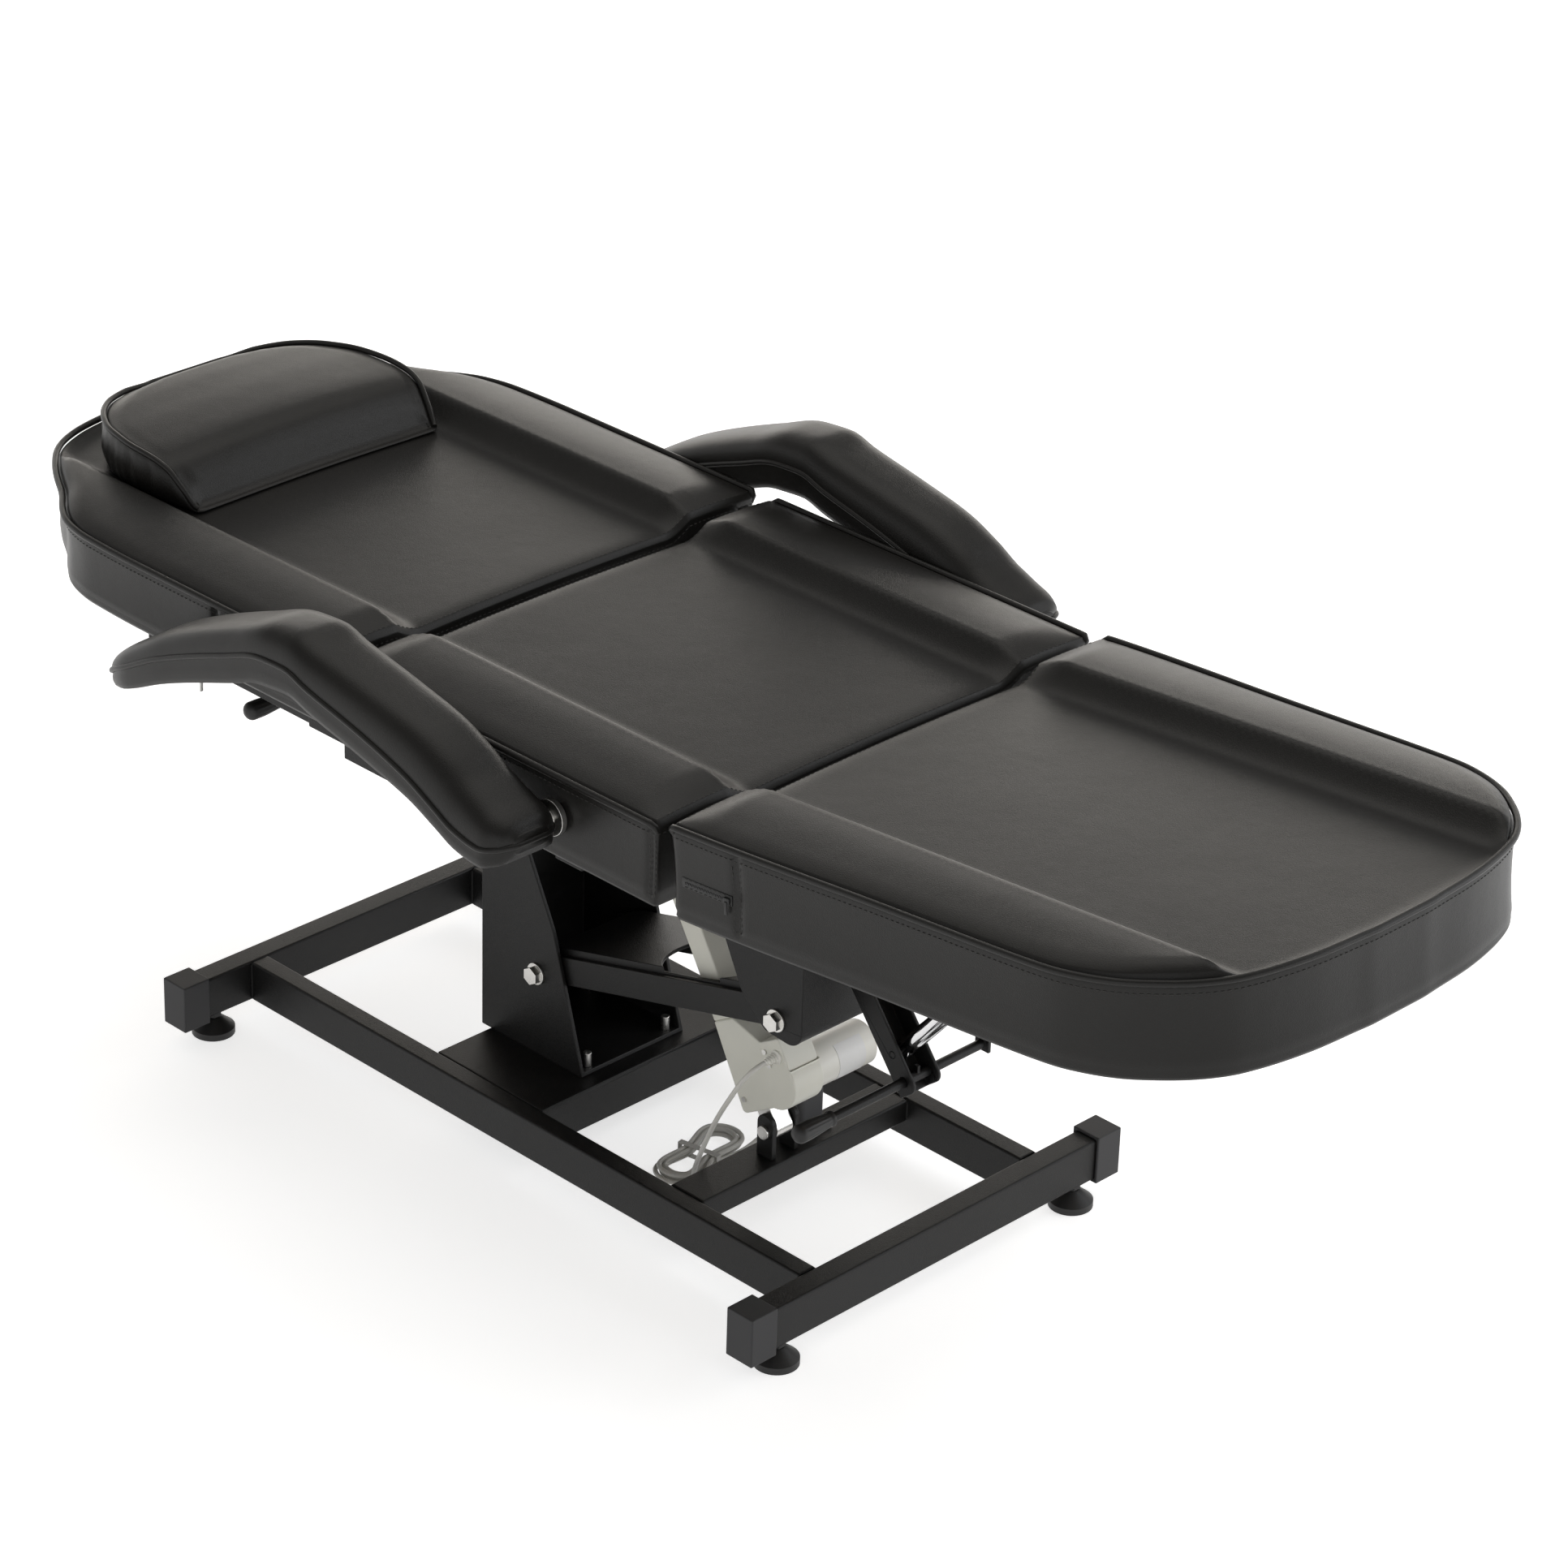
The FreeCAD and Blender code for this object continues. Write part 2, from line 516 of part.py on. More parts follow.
def upper_link():
    """Two straps between the plates of the pillar and of the bracket."""
    half = "(link_high / 2)"
    outline = [(f"{half}", f"-{half}", f"{half} * 0.98"), (f"{half}", f"{half}", f"{half} * 0.98"),
               (f"-arm_long - {half}", f"{half}", f"{half} * 0.98"),
               (f"-arm_long - {half}", f"-{half}", f"{half} * 0.98")]
    bore = "link_shaft_radius + fit_gap"
    strap = plate("link_strap", "YZ_Plane", outline, "link_thick",
                  [("0", "0", bore), ("-arm_long", "0", bore)],
                  at=("(arm_wide - link_thick) / 2", "0", "0"))
    straps = pair("upper_link", strap)
    return place(straps, ("0", "link_pillar_y", "link_pillar_z"), lean="-arm_lean")


def link_shaft(label, y, z, plate_half):
    """A plain shaft across two plates, with a clip outside each."""
    half = f"({plate_half} + clip_thick)"
    shank = cylinder(label + "_shank", "link_shaft_radius", f"2 * {half}", (f"-{half}", y, z), "X")
    clips = [cylinder(f"{label}_clip_{name}", "link_shaft_radius * 1.5", "clip_thick / 2",
                      (x, y, z), "X")
             for name, x in (("near", f"-{plate_half} - clip_thick / 2"), ("far", plate_half))]
    return join(label, shank, *clips)


# Seat bracket
bracket_shares = [(0.324, 0.017), (0.535, 0.154), (0.7, 0.388), (1, 1)]


def seat_bracket():
    """A folded U that hangs from the seat frame, closed towards the foot end."""
    high = "(frame_low - bracket_low_z)"
    outline = [("bracket_front_y", "frame_low"), ("bracket_front_y", "bracket_low_z", "bracket_round")]
    for number, (y, z) in enumerate(bracket_shares):
        point = (f"bracket_front_y + bracket_deep * {y}", f"bracket_low_z + {high} * {z}")
        outline.append(point if z == 1 else point + ("bracket_round",))
    holes = [("seat_pivot_y", "seat_pivot_z", "pivot_radius + fit_gap"),
             ("link_seat_y", "link_seat_z", "link_shaft_radius + fit_gap")]
    blank = plate("bracket_blank", "YZ_Plane", outline, "bracket_wide", holes)
    room = box("bracket_room",
               ("bracket_wide - 2 * sheet_thick", "bracket_deep", f"{high} + 2 * overrun"),
               ("sheet_thick - bracket_wide / 2", "bracket_front_y + sheet_thick",
                "bracket_low_z - overrun"))
    window = cylinder("bracket_window", "web_hole_radius", "sheet_thick + 2 * overrun",
                      ("web_hole_x", "bracket_front_y - overrun", "web_hole_z"), "Y")
    return cut("seat_bracket", blank, room, window)


# Drive, drawn upright in its own frame about the clevis pin and then leaned back
def drive_part(thing):
    return place(thing, ("drive_x", "drive_pin_y", "drive_pin_z"), lean="-drive_lean")


def drive_clevis():
    """Two welded ears that hold the clevis pin."""
    low = "(tube_top - drive_pin_z)"
    half = "(ear_deep / 2)"
    outline = [(f"-{half}", low), (f"{half}", low), (f"{half}", "ear_top", f"{half} * 0.9"),
               (f"-{half}", "ear_top", f"{half} * 0.9")]
    ears = []
    for side, name in ((-1, "near"), (1, "far")):
        x = f"drive_x + {side} * (ear_gap + ear_thick) / 2"
        ears.append(plate(f"clevis_ear_{name}", "YZ_Plane", outline, "ear_thick",
                          [("0", "0", "pin_radius + fit_gap")], at=(x, "drive_pin_y", "drive_pin_z")))
    return group("drive_clevis", *ears)


def clevis_pin():
    half = "(ear_gap / 2 + ear_thick)"
    shank = cylinder("clevis_pin_shank", "pin_radius", f"2 * {half} + 2 * pin_head_thick",
                     (f"drive_x - {half} - pin_head_thick", "drive_pin_y", "drive_pin_z"), "X")
    head = cylinder("clevis_pin_head", "pin_head_radius", "pin_head_thick",
                    (f"drive_x - {half} - pin_head_thick", "drive_pin_y", "drive_pin_z"), "X")
    clip = cylinder("clevis_pin_clip", "pin_head_radius", "pin_head_thick / 2",
                    (f"drive_x + {half}", "drive_pin_y", "drive_pin_z"), "X")
    return join("clevis_pin", shank, head, clip)


def drive_tongue():
    """The bright foot of the drive, on the pin between the ears."""
    outline = [("-tongue_deep / 2", "-tongue_deep / 2", "tongue_deep * 0.49"),
               ("tongue_deep / 2", "-tongue_deep / 2", "tongue_deep * 0.49"),
               ("tongue_deep / 2", "gearbox_start"), ("-tongue_deep / 2", "gearbox_start")]
    tongue = plate("drive_tongue", "YZ_Plane", outline, "tongue_wide",
                   [("0", "0", "pin_radius + fit_gap")])
    return drive_part(tongue)


def gearbox():
    """The cast housing: a drum round the motor axis that runs into the column's foot."""
    half = "(gearbox_deep / 2)"
    outline = [(f"-{half} + gearbox_draft", "gearbox_end"), (f"{half} - gearbox_draft", "gearbox_end"),
               (f"{half}", "gearbox_start", "gearbox_draft"),
               ("-motor_offset", "gearbox_start"),
               ("-motor_offset - motor_boss_radius * 0.7", "motor_along + motor_boss_radius * 0.7")]
    block = plate("gearbox_block", "YZ_Plane", outline, "gearbox_wide")
    drum = cylinder("gearbox_drum", "motor_boss_radius", "gearbox_wide",
                    ("-gearbox_wide / 2", "-motor_offset", "motor_along"), "X")
    terminals = box("gearbox_terminals", ("gearbox_wide", "terminal_deep", "terminal_long"),
                    ("-gearbox_wide / 2", "-gland_offset - terminal_deep / 4",
                     "gland_along - terminal_long / 2"))
    bore = cylinder("gearbox_bore", "screw_radius + soft_gap", "rod_start - gearbox_start",
                    ("0", "0", "gearbox_end - nut_long"))
    return drive_part(cut("gearbox_housing", join("gearbox_cast", block, drum, terminals), bore))


def drive_motor():
    """The motor can along X, with a shallow end bell."""
    can = cylinder("motor_can", "motor_radius", "motor_long",
                   ("gearbox_wide / 2", "-motor_offset", "motor_along"), "X")
    bell = cylinder("motor_bell", "motor_radius * 0.72", "motor_radius / 6",
                    ("gearbox_wide / 2 + motor_long", "-motor_offset", "motor_along"), "X")
    return drive_part(join("drive_motor", can, bell))


def drive_column():
    """The aluminium profile: a wider foot and a long guide, bored for the piston tube."""
    foot = box("column_foot", ("neck_wide", "neck_deep", "neck_long"),
               ("-neck_wide / 2", "-neck_deep / 2", "gearbox_end"))
    guide = box("column_guide",
                ("column_wide", "column_deep", "column_end - gearbox_end - neck_long"),
                ("-column_wide / 2", "-column_deep / 2", "gearbox_end + neck_long"))
    bore = cylinder("column_bore", "rod_radius + fit_gap", "column_end",
                    ("0", "0", "gearbox_end + overrun"))
    seat = cylinder("column_screw_bore", "screw_radius + soft_gap", "neck_long",
                    ("0", "0", "gearbox_end - overrun"))
    return drive_part(cut("drive_column", join("column_profile", foot, guide), bore, seat))


def drive_screw():
    """The lead screw inside the piston tube. Its thread is left plain."""
    bar = cylinder("screw_bar", "screw_radius", "screw_end - gearbox_end + nut_long",
                   ("0", "0", "gearbox_end - nut_long"))
    return drive_part(group("drive_screw", bar))


def piston_tube():
    """The tube that slides in the column, with an eye at its top."""
    tube = cylinder("piston_outer", "rod_radius", "drive_long - rod_start", ("0", "0", "rod_start"))
    eye = cylinder("piston_eye", "eye_radius", "eye_wide", ("-eye_wide / 2", "0", "drive_long"), "X")
    bore = cylinder("piston_bore", "rod_bore", "screw_end + overrun * 4 - rod_start",
                    ("0", "0", "rod_start"))
    hole = cylinder("piston_pin_hole", "link_shaft_radius", "eye_wide + 2 * overrun",
                    ("-eye_wide / 2 - overrun", "0", "drive_long"), "X")
    return drive_part(cut("piston_tube", join("piston_solid", tube, eye), bore, hole))


def drive_nut():
    """The nut at the piston tube's foot, on the screw."""
    ring = cylinder("nut_ring", "rod_bore", "nut_long", ("0", "0", "rod_start"))
    bore = cylinder("nut_bore", "screw_radius + fit_gap", "nut_long + 2 * overrun",
                    ("0", "0", "rod_start - overrun"))
    return drive_part(cut("drive_nut", ring, bore))


def top_pin():
    """The pin in the piston's eye. It ends just short of both cheeks."""
    half = "(cheek_gap / 2 - 2 * soft_gap)"
    bar = cylinder("top_pin_bar", "link_shaft_radius", f"2 * {half}", (f"-{half}", "0", "drive_long"),
                   "X")
    return drive_part(group("drive_top_pin", bar))


def top_bracket():
    """Two cheeks under the seat frame that hold the piston's eye between them."""
    outline = lug_outline("drive_top_y", "drive_top_z", "(cheek_deep / 2)", "frame_low")
    cheeks = []
    for side, name in ((-1, "near"), (1, "far")):
        x = f"drive_x + {side} * (cheek_gap + cheek_thick) / 2"
        cheeks.append(plate(f"top_cheek_{name}", "YZ_Plane", outline, "cheek_thick", at=(x, "0", "0")))
    return group("drive_top_bracket", *cheeks)


def cable_gland():
    """A screwed gland on the near face of the gearbox."""
    ring = cylinder("gland_ring", "gland_radius", "gland_long",
                    ("-gearbox_wide / 2 - gland_long", "-gland_offset", "gland_along"), "X")
    return drive_part(group("cable_gland", ring))


def cover_screws():
    screws = []
    for number, (y, z) in enumerate((("-gland_offset + gland_radius * 2", "gland_along + gland_radius"),
                                     ("-gland_offset + gland_radius * 2", "gland_along - gland_radius"),
                                     ("gearbox_deep / 4", "gearbox_start + gland_radius * 2"))):
        screws.append(cylinder(f"cover_screw_{number}", "cover_screw_radius", "cover_screw_high",
                               ("-gearbox_wide / 2 - cover_screw_high", y, z), "X"))
    return drive_part(group("gearbox_screws", *screws))


# Control box on the drive cross tube
def control_box():
    """A closed moulded box with a screwed tab and two sockets in its head end."""
    half_wide, half_deep = "(box_wide / 2)", "(box_deep / 2)"
    outline = [(f"{x}{half_wide}", f"{y}{half_deep}", "box_round")
               for x, y in (("-", "-"), ("", "-"), ("", ""), ("-", ""))]
    case = plate("box_case", "XY_Plane", outline, "box_high", at=("box_x", "box_y", "tube_top"),
                 one_way=True)
    tab = box("box_tab", ("box_wide / 2", "box_tab_deep + box_round", "box_tab_thick"),
              ("box_x - box_wide / 4", "box_y - box_deep / 2 - box_tab_deep", "tube_top"))
    screw = cylinder("box_screw", "box_screw_radius", "box_tab_thick",
                     ("box_x", "box_y - box_deep / 2 - box_tab_deep / 2", "tube_top + box_tab_thick"))
    sockets = [cylinder(f"box_socket_{number}", "socket_radius", "socket_long",
                        (f"box_x + {side} * box_wide / 4", "box_y + box_deep / 2", "socket_z"), "Y")
               for number, side in enumerate((-1, 1))]
    return join("control_box", case, tab, screw, *sockets)


# Seat frame
def frame_tube(label, size, at, along):
    return square_tube(label, size, at, "seat_wall", along)


def hinge_ear(label, x, y, z, radius, back, thick, bore):
    """A flat ear about a hinge axis, from a weld line at one end."""
    outline = [(back, f"{z} - {radius}"), (y, f"{z} - {radius}"), (f"{y} - {radius}", z, f"{radius} * 0.4"),
               (y, f"{z} + {radius}"), (back, f"{z} + {radius}")]
    return plate(label, "YZ_Plane", outline, thick, [(y, z, bore)], at=(x, "0", "0"))


def seat_frame():
    """Welded tubes under the seat board, with all the ears, plates and posts that they carry."""
    side = ("seat_tube", "seat_long - 2 * frame_set", "seat_tube")
    rail = frame_tube("seat_side_tube", side,
                      ("seat_tube_x - seat_tube / 2", "seat_foot_y + frame_set", "frame_low"), "Y")
    parts = [rail, mirrored("seat_side_tube_far", rail)]
    gap = "(2 * seat_tube_x - seat_tube)"
    rows = {"front": "seat_foot_y + frame_set", "bracket": "bracket_tube_y", "lug": "lug_tube_y",
            "rear": "seat_head_y - frame_set - seat_tube"}
    for name, y in rows.items():
        parts.append(frame_tube(f"seat_tube_{name}", (gap, "seat_tube", "seat_tube"),
                                (f"-{gap} / 2", y, "frame_low"), "X"))
    out = "(seat_tube_x + seat_tube / 2)"
    stub = frame_tube("hinge_stub", (f"hinge_plate_x + hinge_plate_thick + soft_gap - {out}",
                                     "seat_tube", "seat_tube"), (out, rows["rear"], "frame_low"), "X")
    plate_x = "hinge_plate_x + hinge_plate_thick * 1.5 + soft_gap"
    half = "back_hinge_radius"
    outline = [(f"back_hinge_y - {half} - hinge_plate_foot", "frame_low"),
               (f"back_hinge_y + {half}", "frame_low"),
               (f"back_hinge_y + {half}", f"back_hinge_z + {half}", f"{half} * 0.9"),
               (f"back_hinge_y - {half}", f"back_hinge_z + {half}", f"{half} * 0.9"),
               (f"back_hinge_y - {half}", "hem_z"),
               (f"back_hinge_y - {half} - hinge_plate_foot", "hem_z")]
    upright = plate("hinge_upright", "YZ_Plane", outline, "hinge_plate_thick",
                    [("back_hinge_y", "back_hinge_z", "back_hinge_pin + fit_gap")],
                    at=(plate_x, "0", "0"))
    out_long = f"(arm_post_x - arm_post_thick / 2 - {out})"
    outrigger = frame_tube("outrigger", (out_long, "seat_tube", "arm_post_set"),
                           (out, "armrest_hub_y - seat_tube / 2", "hem_z - arm_post_set"), "X")
    post_top = "armrest_hub_z + arm_post_up"
    post_low = "hem_z - arm_post_set"
    post_outline = [("armrest_hub_y - arm_post_deep / 2", post_low),
                    ("armrest_hub_y + arm_post_deep / 2", post_low),
                    ("armrest_hub_y + arm_post_deep / 2", post_top, "arm_post_up / 2"),
                    ("armrest_hub_y - arm_post_deep / 2", post_top, "arm_post_up / 2")]
    post = plate("armrest_post", "YZ_Plane", post_outline, "arm_post_thick",
                 [("armrest_hub_y", "armrest_hub_z", "armrest_shaft_radius + fit_gap")],
                 at=("arm_post_x", "0", "0"))
    ear_x = "leg_tube_x - leg_tube / 2 - leg_ear_thick * 1.5 - soft_gap"
    ear = hinge_ear("leg_hinge_ear", ear_x, "leg_hinge_y", "leg_hinge_z", "leg_hinge_radius",
                    rows["front"], "leg_ear_thick", "leg_hinge_pin + fit_gap")
    for part in (stub, upright, outrigger, post, ear):
        parts += [part, mirrored(part.Label + "_far", part)]
    half, low_y, low_z = "spring_lug_half", "back_spring_low_y", "back_spring_low_z"
    strap = [(rows["rear"], "frame_low"), (f"{low_y} - {half}", f"{low_z} + {half}"),
             (f"{low_y} - {half}", f"{low_z} - {half}", f"{half} * 0.98"),
             (f"{low_y} + {half}", f"{low_z} - {half}", f"{half} * 0.98"),
             (f"{low_y} + {half}", f"{low_z} + {half}"), (f"{rows['rear']} + seat_tube", "frame_low")]
    for side, name in ((-1, "near"), (1, "far")):
        x = f"back_spring_x + {side} * (spring_lug_gap + spring_lug_thick) / 2"
        parts.append(plate(f"back_spring_lug_{name}", "YZ_Plane", strap, "spring_lug_thick",
                           [(low_y, low_z, "spring_pin_radius + fit_gap")], at=(x, "0", "0")))
    pin = cylinder("back_spring_low_pin", "spring_pin_radius", "spring_lug_gap + 2 * spring_lug_thick",
                   ("back_spring_x - spring_lug_gap / 2 - spring_lug_thick", low_y, low_z), "X")
    return group("seat_frame", *parts, pin)


def hinge_pins():
    """The two pins of the back hinge and the two of the leg hinge."""
    back = cylinder("back_hinge_pin_near", "back_hinge_pin", "2 * hinge_plate_thick + 2 * overrun + soft_gap",
                    ("hinge_plate_x - overrun", "back_hinge_y", "back_hinge_z"), "X")
    leg = cylinder("leg_hinge_pin_near", "leg_hinge_pin", "2 * leg_ear_thick + 2 * overrun + soft_gap",
                   ("leg_tube_x - leg_tube / 2 - 2 * leg_ear_thick - soft_gap - overrun",
                    "leg_hinge_y", "leg_hinge_z"), "X")
    return group("hinge_pins", back, mirrored("back_hinge_pin_far", back),
                 leg, mirrored("leg_hinge_pin_far", leg))


# Leg rest, drawn level in its own frame from its root corner and then leaned up
def leg_part(thing):
    return place(thing, ("0", "leg_root_y", "hem_z"), lean="-leg_lean")


def leg_local(y, z):
    """A row place as formulas in the leg rest's own frame."""
    across, up = f"({y} - leg_root_y)", f"({z} - hem_z)"
    turn = "leg_lean * 1 deg"
    return (f"({across} * cos({turn}) - {up} * sin({turn}))",
            f"({across} * sin({turn}) + {up} * cos({turn}))")


def leg_frame():
    long = "leg_frame_long"
    rail = frame_tube("leg_side_tube", ("leg_tube", long, "leg_tube"),
                      ("leg_tube_x - leg_tube / 2", f"-{long}", "-leg_tube"), "Y")
    parts = [rail, mirrored("leg_side_tube_far", rail)]
    gap = "(2 * leg_tube_x - leg_tube)"
    top_y, top_z = leg_local("spring_top_y", "spring_top_z")
    rows = {"root": "-2 * leg_tube", "spring": f"{top_y} - leg_tube / 2", "end": f"-{long}"}
    for name, y in rows.items():
        parts.append(frame_tube(f"leg_tube_{name}", (gap, "leg_tube", "leg_tube"),
                                (f"-{gap} / 2", y, "-leg_tube"), "X"))
    pin_y, pin_z = leg_local("leg_hinge_y", "leg_hinge_z")
    radius = "leg_hinge_radius"
    outline = [("-leg_tongue_long", f"{pin_z} - {radius}"), (pin_y, f"{pin_z} - {radius}"),
               (f"{pin_y} + {radius}", pin_z, f"{radius} * 0.4"), (pin_y, f"{pin_z} + {radius}"),
               ("-leg_tongue_long", f"{pin_z} + {radius}")]
    tongue = plate("leg_tongue", "YZ_Plane", outline, "leg_ear_thick",
                   [(pin_y, pin_z, "leg_hinge_pin + fit_gap")],
                   at=("leg_tube_x - leg_tube / 2 - leg_ear_thick / 2", "0", "0"))
    parts += [tongue, mirrored("leg_tongue_far", tongue)]
    for side, name in ((-1, "near"), (1, "far")):
        outline = lug_outline(top_y, top_z, "spring_lug_half", "-leg_tube")
        parts.append(plate(f"leg_spring_lug_{name}", "YZ_Plane", outline, "spring_lug_thick",
                           [(top_y, top_z, "spring_pin_radius + fit_gap")],
                           at=(f"{side} * (spring_lug_gap + spring_lug_thick) / 2", "0", "0")))
    pin = cylinder("leg_spring_top_pin", "spring_pin_radius", "spring_lug_gap + 2 * spring_lug_thick",
                   ("-spring_lug_gap / 2 - spring_lug_thick", top_y, top_z), "X")
    return leg_part(group("leg_frame", *parts, pin))


# Gas springs, drawn upright about the lower pin and then leaned
def spring_cylinder(label, x, y, z, lean, can_long):
    eye = cylinder(label + "_eye", "spring_eye_radius", "spring_eye_wide",
                   ("-spring_eye_wide / 2", "0", "0"), "X")
    can = cylinder(label + "_can", "spring_can_radius", can_long, ("0", "0", "0"))
    hole = cylinder(label + "_hole", "spring_pin_radius + fit_gap", "2 * spring_can_radius + 2 * overrun",
                    ("-spring_can_radius - overrun", "0", "0"), "X")
    bore = cylinder(label + "_bore", "spring_rod_radius + fit_gap", can_long,
                    ("0", "0", "spring_eye_radius * 2"))
    whole = cut(label, join(label + "_solid", eye, can), hole, bore)
    return place(whole, (x, y, z), lean=lean)


def spring_rod(label, x, y, z, lean, long, inner_end):
    """The piston rod, from its end inside the can to its eye. The eye has play round its pin."""
    rod = cylinder(label + "_shank", "spring_rod_radius", f"{long} - {inner_end}",
                   ("0", "0", inner_end))
    eye = cylinder(label + "_eye", "spring_eye_radius", "spring_eye_wide",
                   ("-spring_eye_wide / 2", "0", long), "X")
    hole = cylinder(label + "_hole", "spring_pin_radius + spring_loose", "spring_eye_wide + 2 * overrun",
                    ("-spring_eye_wide / 2 - overrun", "0", long), "X")
    return place(cut(label, join(label + "_solid", rod, eye), hole), (x, y, z), lean=lean)


def lever_grip(label, near_x, y, z):
    """A rubber grip with ribs, on the near end of a lever rod."""
    core = cylinder(label + "_core", "grip_radius - grip_rib_gap / 6", "grip_long", (near_x, y, z), "X")
    ribs = [cylinder(f"{label}_rib_{number}", "grip_radius", "grip_rib_gap / 2",
                     (f"{near_x} + grip_rib_gap * {number}", y, z), "X")
            for number in range(int(val("grip_long / grip_rib_gap")))]
    bore = cylinder(label + "_bore", "lever_radius", "grip_long", (f"{near_x} + overrun * 2", y, z), "X")
    return cut(label, join(label + "_solid", core, *ribs), bore)


# Holder of the leg spring, on the web of the seat bracket
def leg_spring_holder():
    """A slanted channel whose cheeks hold the spring's pin and the release lever."""
    half = "(holder_half_deep)"
    outline = [(f"-{half}", "-holder_low", f"{half} * 0.8"), (f"{half}", "-holder_low"),
               (f"{half}", "holder_long"), (f"-{half}", "holder_long")]
    turn = "holder_lean * 1 deg"
    pin_y = (f"((spring_y - holder_y) * cos({turn}) - (spring_z - holder_z) * sin({turn}))")
    pin_z = (f"((spring_y - holder_y) * sin({turn}) + (spring_z - holder_z) * cos({turn}))")
    blank = plate("holder_blank", "YZ_Plane", outline, "holder_wide",
                  [("0", "0", "lever_radius + fit_gap"), (pin_y, pin_z, "spring_pin_radius + fit_gap")])
    room = box("holder_room", ("holder_wide - 2 * holder_wall", "2 * holder_half_deep",
                               "holder_long + holder_low + 2 * overrun"),
               ("holder_wall - holder_wide / 2", "-holder_half_deep - holder_wall",
                "-holder_low - overrun"))
    channel = place(cut("holder_channel", blank, room), ("0", "holder_y", "holder_z"),
                    lean="-holder_lean")
    behind = box("holder_trim", ("2 * holder_wide", "holder_long", "2 * holder_long"),
                 ("-holder_wide", "bracket_front_y", "holder_z"))
    pin = cylinder("leg_spring_low_pin", "spring_pin_radius", "holder_wide",
                   ("-holder_wide / 2", "spring_y", "spring_z"), "X")
    return group("leg_spring_holder", cut("holder_trimmed", channel, behind), pin)


def leg_lever():
    """The release rod with a tab at its far end and a finger towards the spring."""
    rod = cylinder("leg_lever_rod", "lever_radius",
                   "leg_lever_far_x - leg_lever_near_x - overrun * 2",
                   ("leg_lever_near_x + overrun * 2", "holder_y", "holder_z"), "X")
    tab = box("leg_lever_tab", ("tab_thick", "tab_wide", "tab_high"),
              ("leg_lever_far_x - tab_thick", "holder_y - tab_wide / 2", "holder_z - tab_high / 4"))
    finger = box("leg_lever_finger", ("holder_wall", "lever_radius", "lever_radius * 2.4"),
                 ("-holder_wall / 2", "holder_y - lever_radius / 2", "holder_z"))
    return join("leg_lever", rod, tab, finger)


# Back frame
def back_frame():
    """Side rails and cross tubes under the back board, with the hinge tongues and lugs."""
    foot = "(back_foot_y + frame_set)"
    rail = square_tube("back_side_tube", ("back_tube_wide", "back_frame_long", "back_tube_high"),
                       ("hinge_plate_x - back_tube_wide", foot, "back_frame_low"), "seat_wall", "Y")
    parts = [rail, mirrored("back_side_tube_far", rail)]
    gap = "(2 * (hinge_plate_x - back_tube_wide))"
    rows = {"foot": foot, "lever": "back_lever_y - back_tube_wide / 2",
            "spring": "back_spring_up_y - back_tube_wide / 2",
            "head": f"{foot} + back_frame_long - back_tube_wide"}
    for name, y in rows.items():
        parts.append(square_tube(f"back_tube_{name}", (gap, "back_tube_wide", "back_tube_high"),
                                 (f"-{gap} / 2", y, "back_frame_low"), "seat_wall", "X"))
    half = "back_hinge_radius"
    outline = [(f"back_hinge_y - {half}", f"back_hinge_z + {half}", f"{half} * 0.9"),
               (f"back_hinge_y - {half}", "back_frame_low"),
               ("back_foot_y + hinge_plate_foot", "back_frame_low"),
               ("back_foot_y + hinge_plate_foot", "back_hem_z"),
               (f"back_hinge_y + {half}", "back_hem_z"),
               (f"back_hinge_y + {half}", f"back_hinge_z + {half}", f"{half} * 0.9")]
    tongue = plate("back_tongue", "YZ_Plane", outline, "hinge_plate_thick",
                   [("back_hinge_y", "back_hinge_z", "back_hinge_pin + fit_gap")],
                   at=("hinge_plate_x + hinge_plate_thick / 2", "0", "0"))
    parts += [tongue, mirrored("back_tongue_far", tongue)]
    for side, name in ((-1, "near"), (1, "far")):
        outline = lug_outline("back_spring_up_y", "back_spring_up_z", "spring_lug_half", "back_frame_low")
        x = f"back_spring_x + {side} * (spring_lug_gap + spring_lug_thick) / 2"
        parts.append(plate(f"back_top_lug_{name}", "YZ_Plane", outline, "spring_lug_thick",
                           at=(x, "0", "0")))
    for name, x in (("near", "-back_lever_lug_x"), ("far", "back_lever_far_x - lever_lug_thick")):
        outline = lug_outline("back_lever_y", "back_lever_z", "(lever_lug_deep / 2)", "back_frame_low")
        parts.append(plate(f"back_lever_lug_{name}", "YZ_Plane", outline, "lever_lug_thick",
                           [("back_lever_y", "back_lever_z", "lever_radius + fit_gap")],
                           at=(x, "0", "0")))
    return group("back_frame", *parts)


def back_lever():
    """The release rod across the back frame, with a stop ring beside its inner lug."""
    long = "(back_lever_far_x - back_lever_near_x)"
    rod = cylinder("back_lever_rod", "lever_radius", f"{long} - overrun * 2",
                   ("back_lever_near_x + overrun * 2", "back_lever_y", "back_lever_z"), "X")
    ring = cylinder("back_lever_ring", "lever_radius * 1.6", "lever_lug_thick / 2",
                    ("back_lever_far_x - lever_lug_thick * 2.2", "back_lever_y", "back_lever_z"), "X")
    return join("back_lever", rod, ring)


# Soft parts, lofted through sections across the chair
def solid(label, shape, at=(0, 0, 0), lean=0):
    """A finished form under its label. A form's placement is set after its shape."""
    thing = add("Part::Feature", label)
    thing.Shape = shape
    thing.Placement = FreeCAD.Placement(Vector(*at), FreeCAD.Rotation(Vector(1, 0, 0), lean))
    return thing


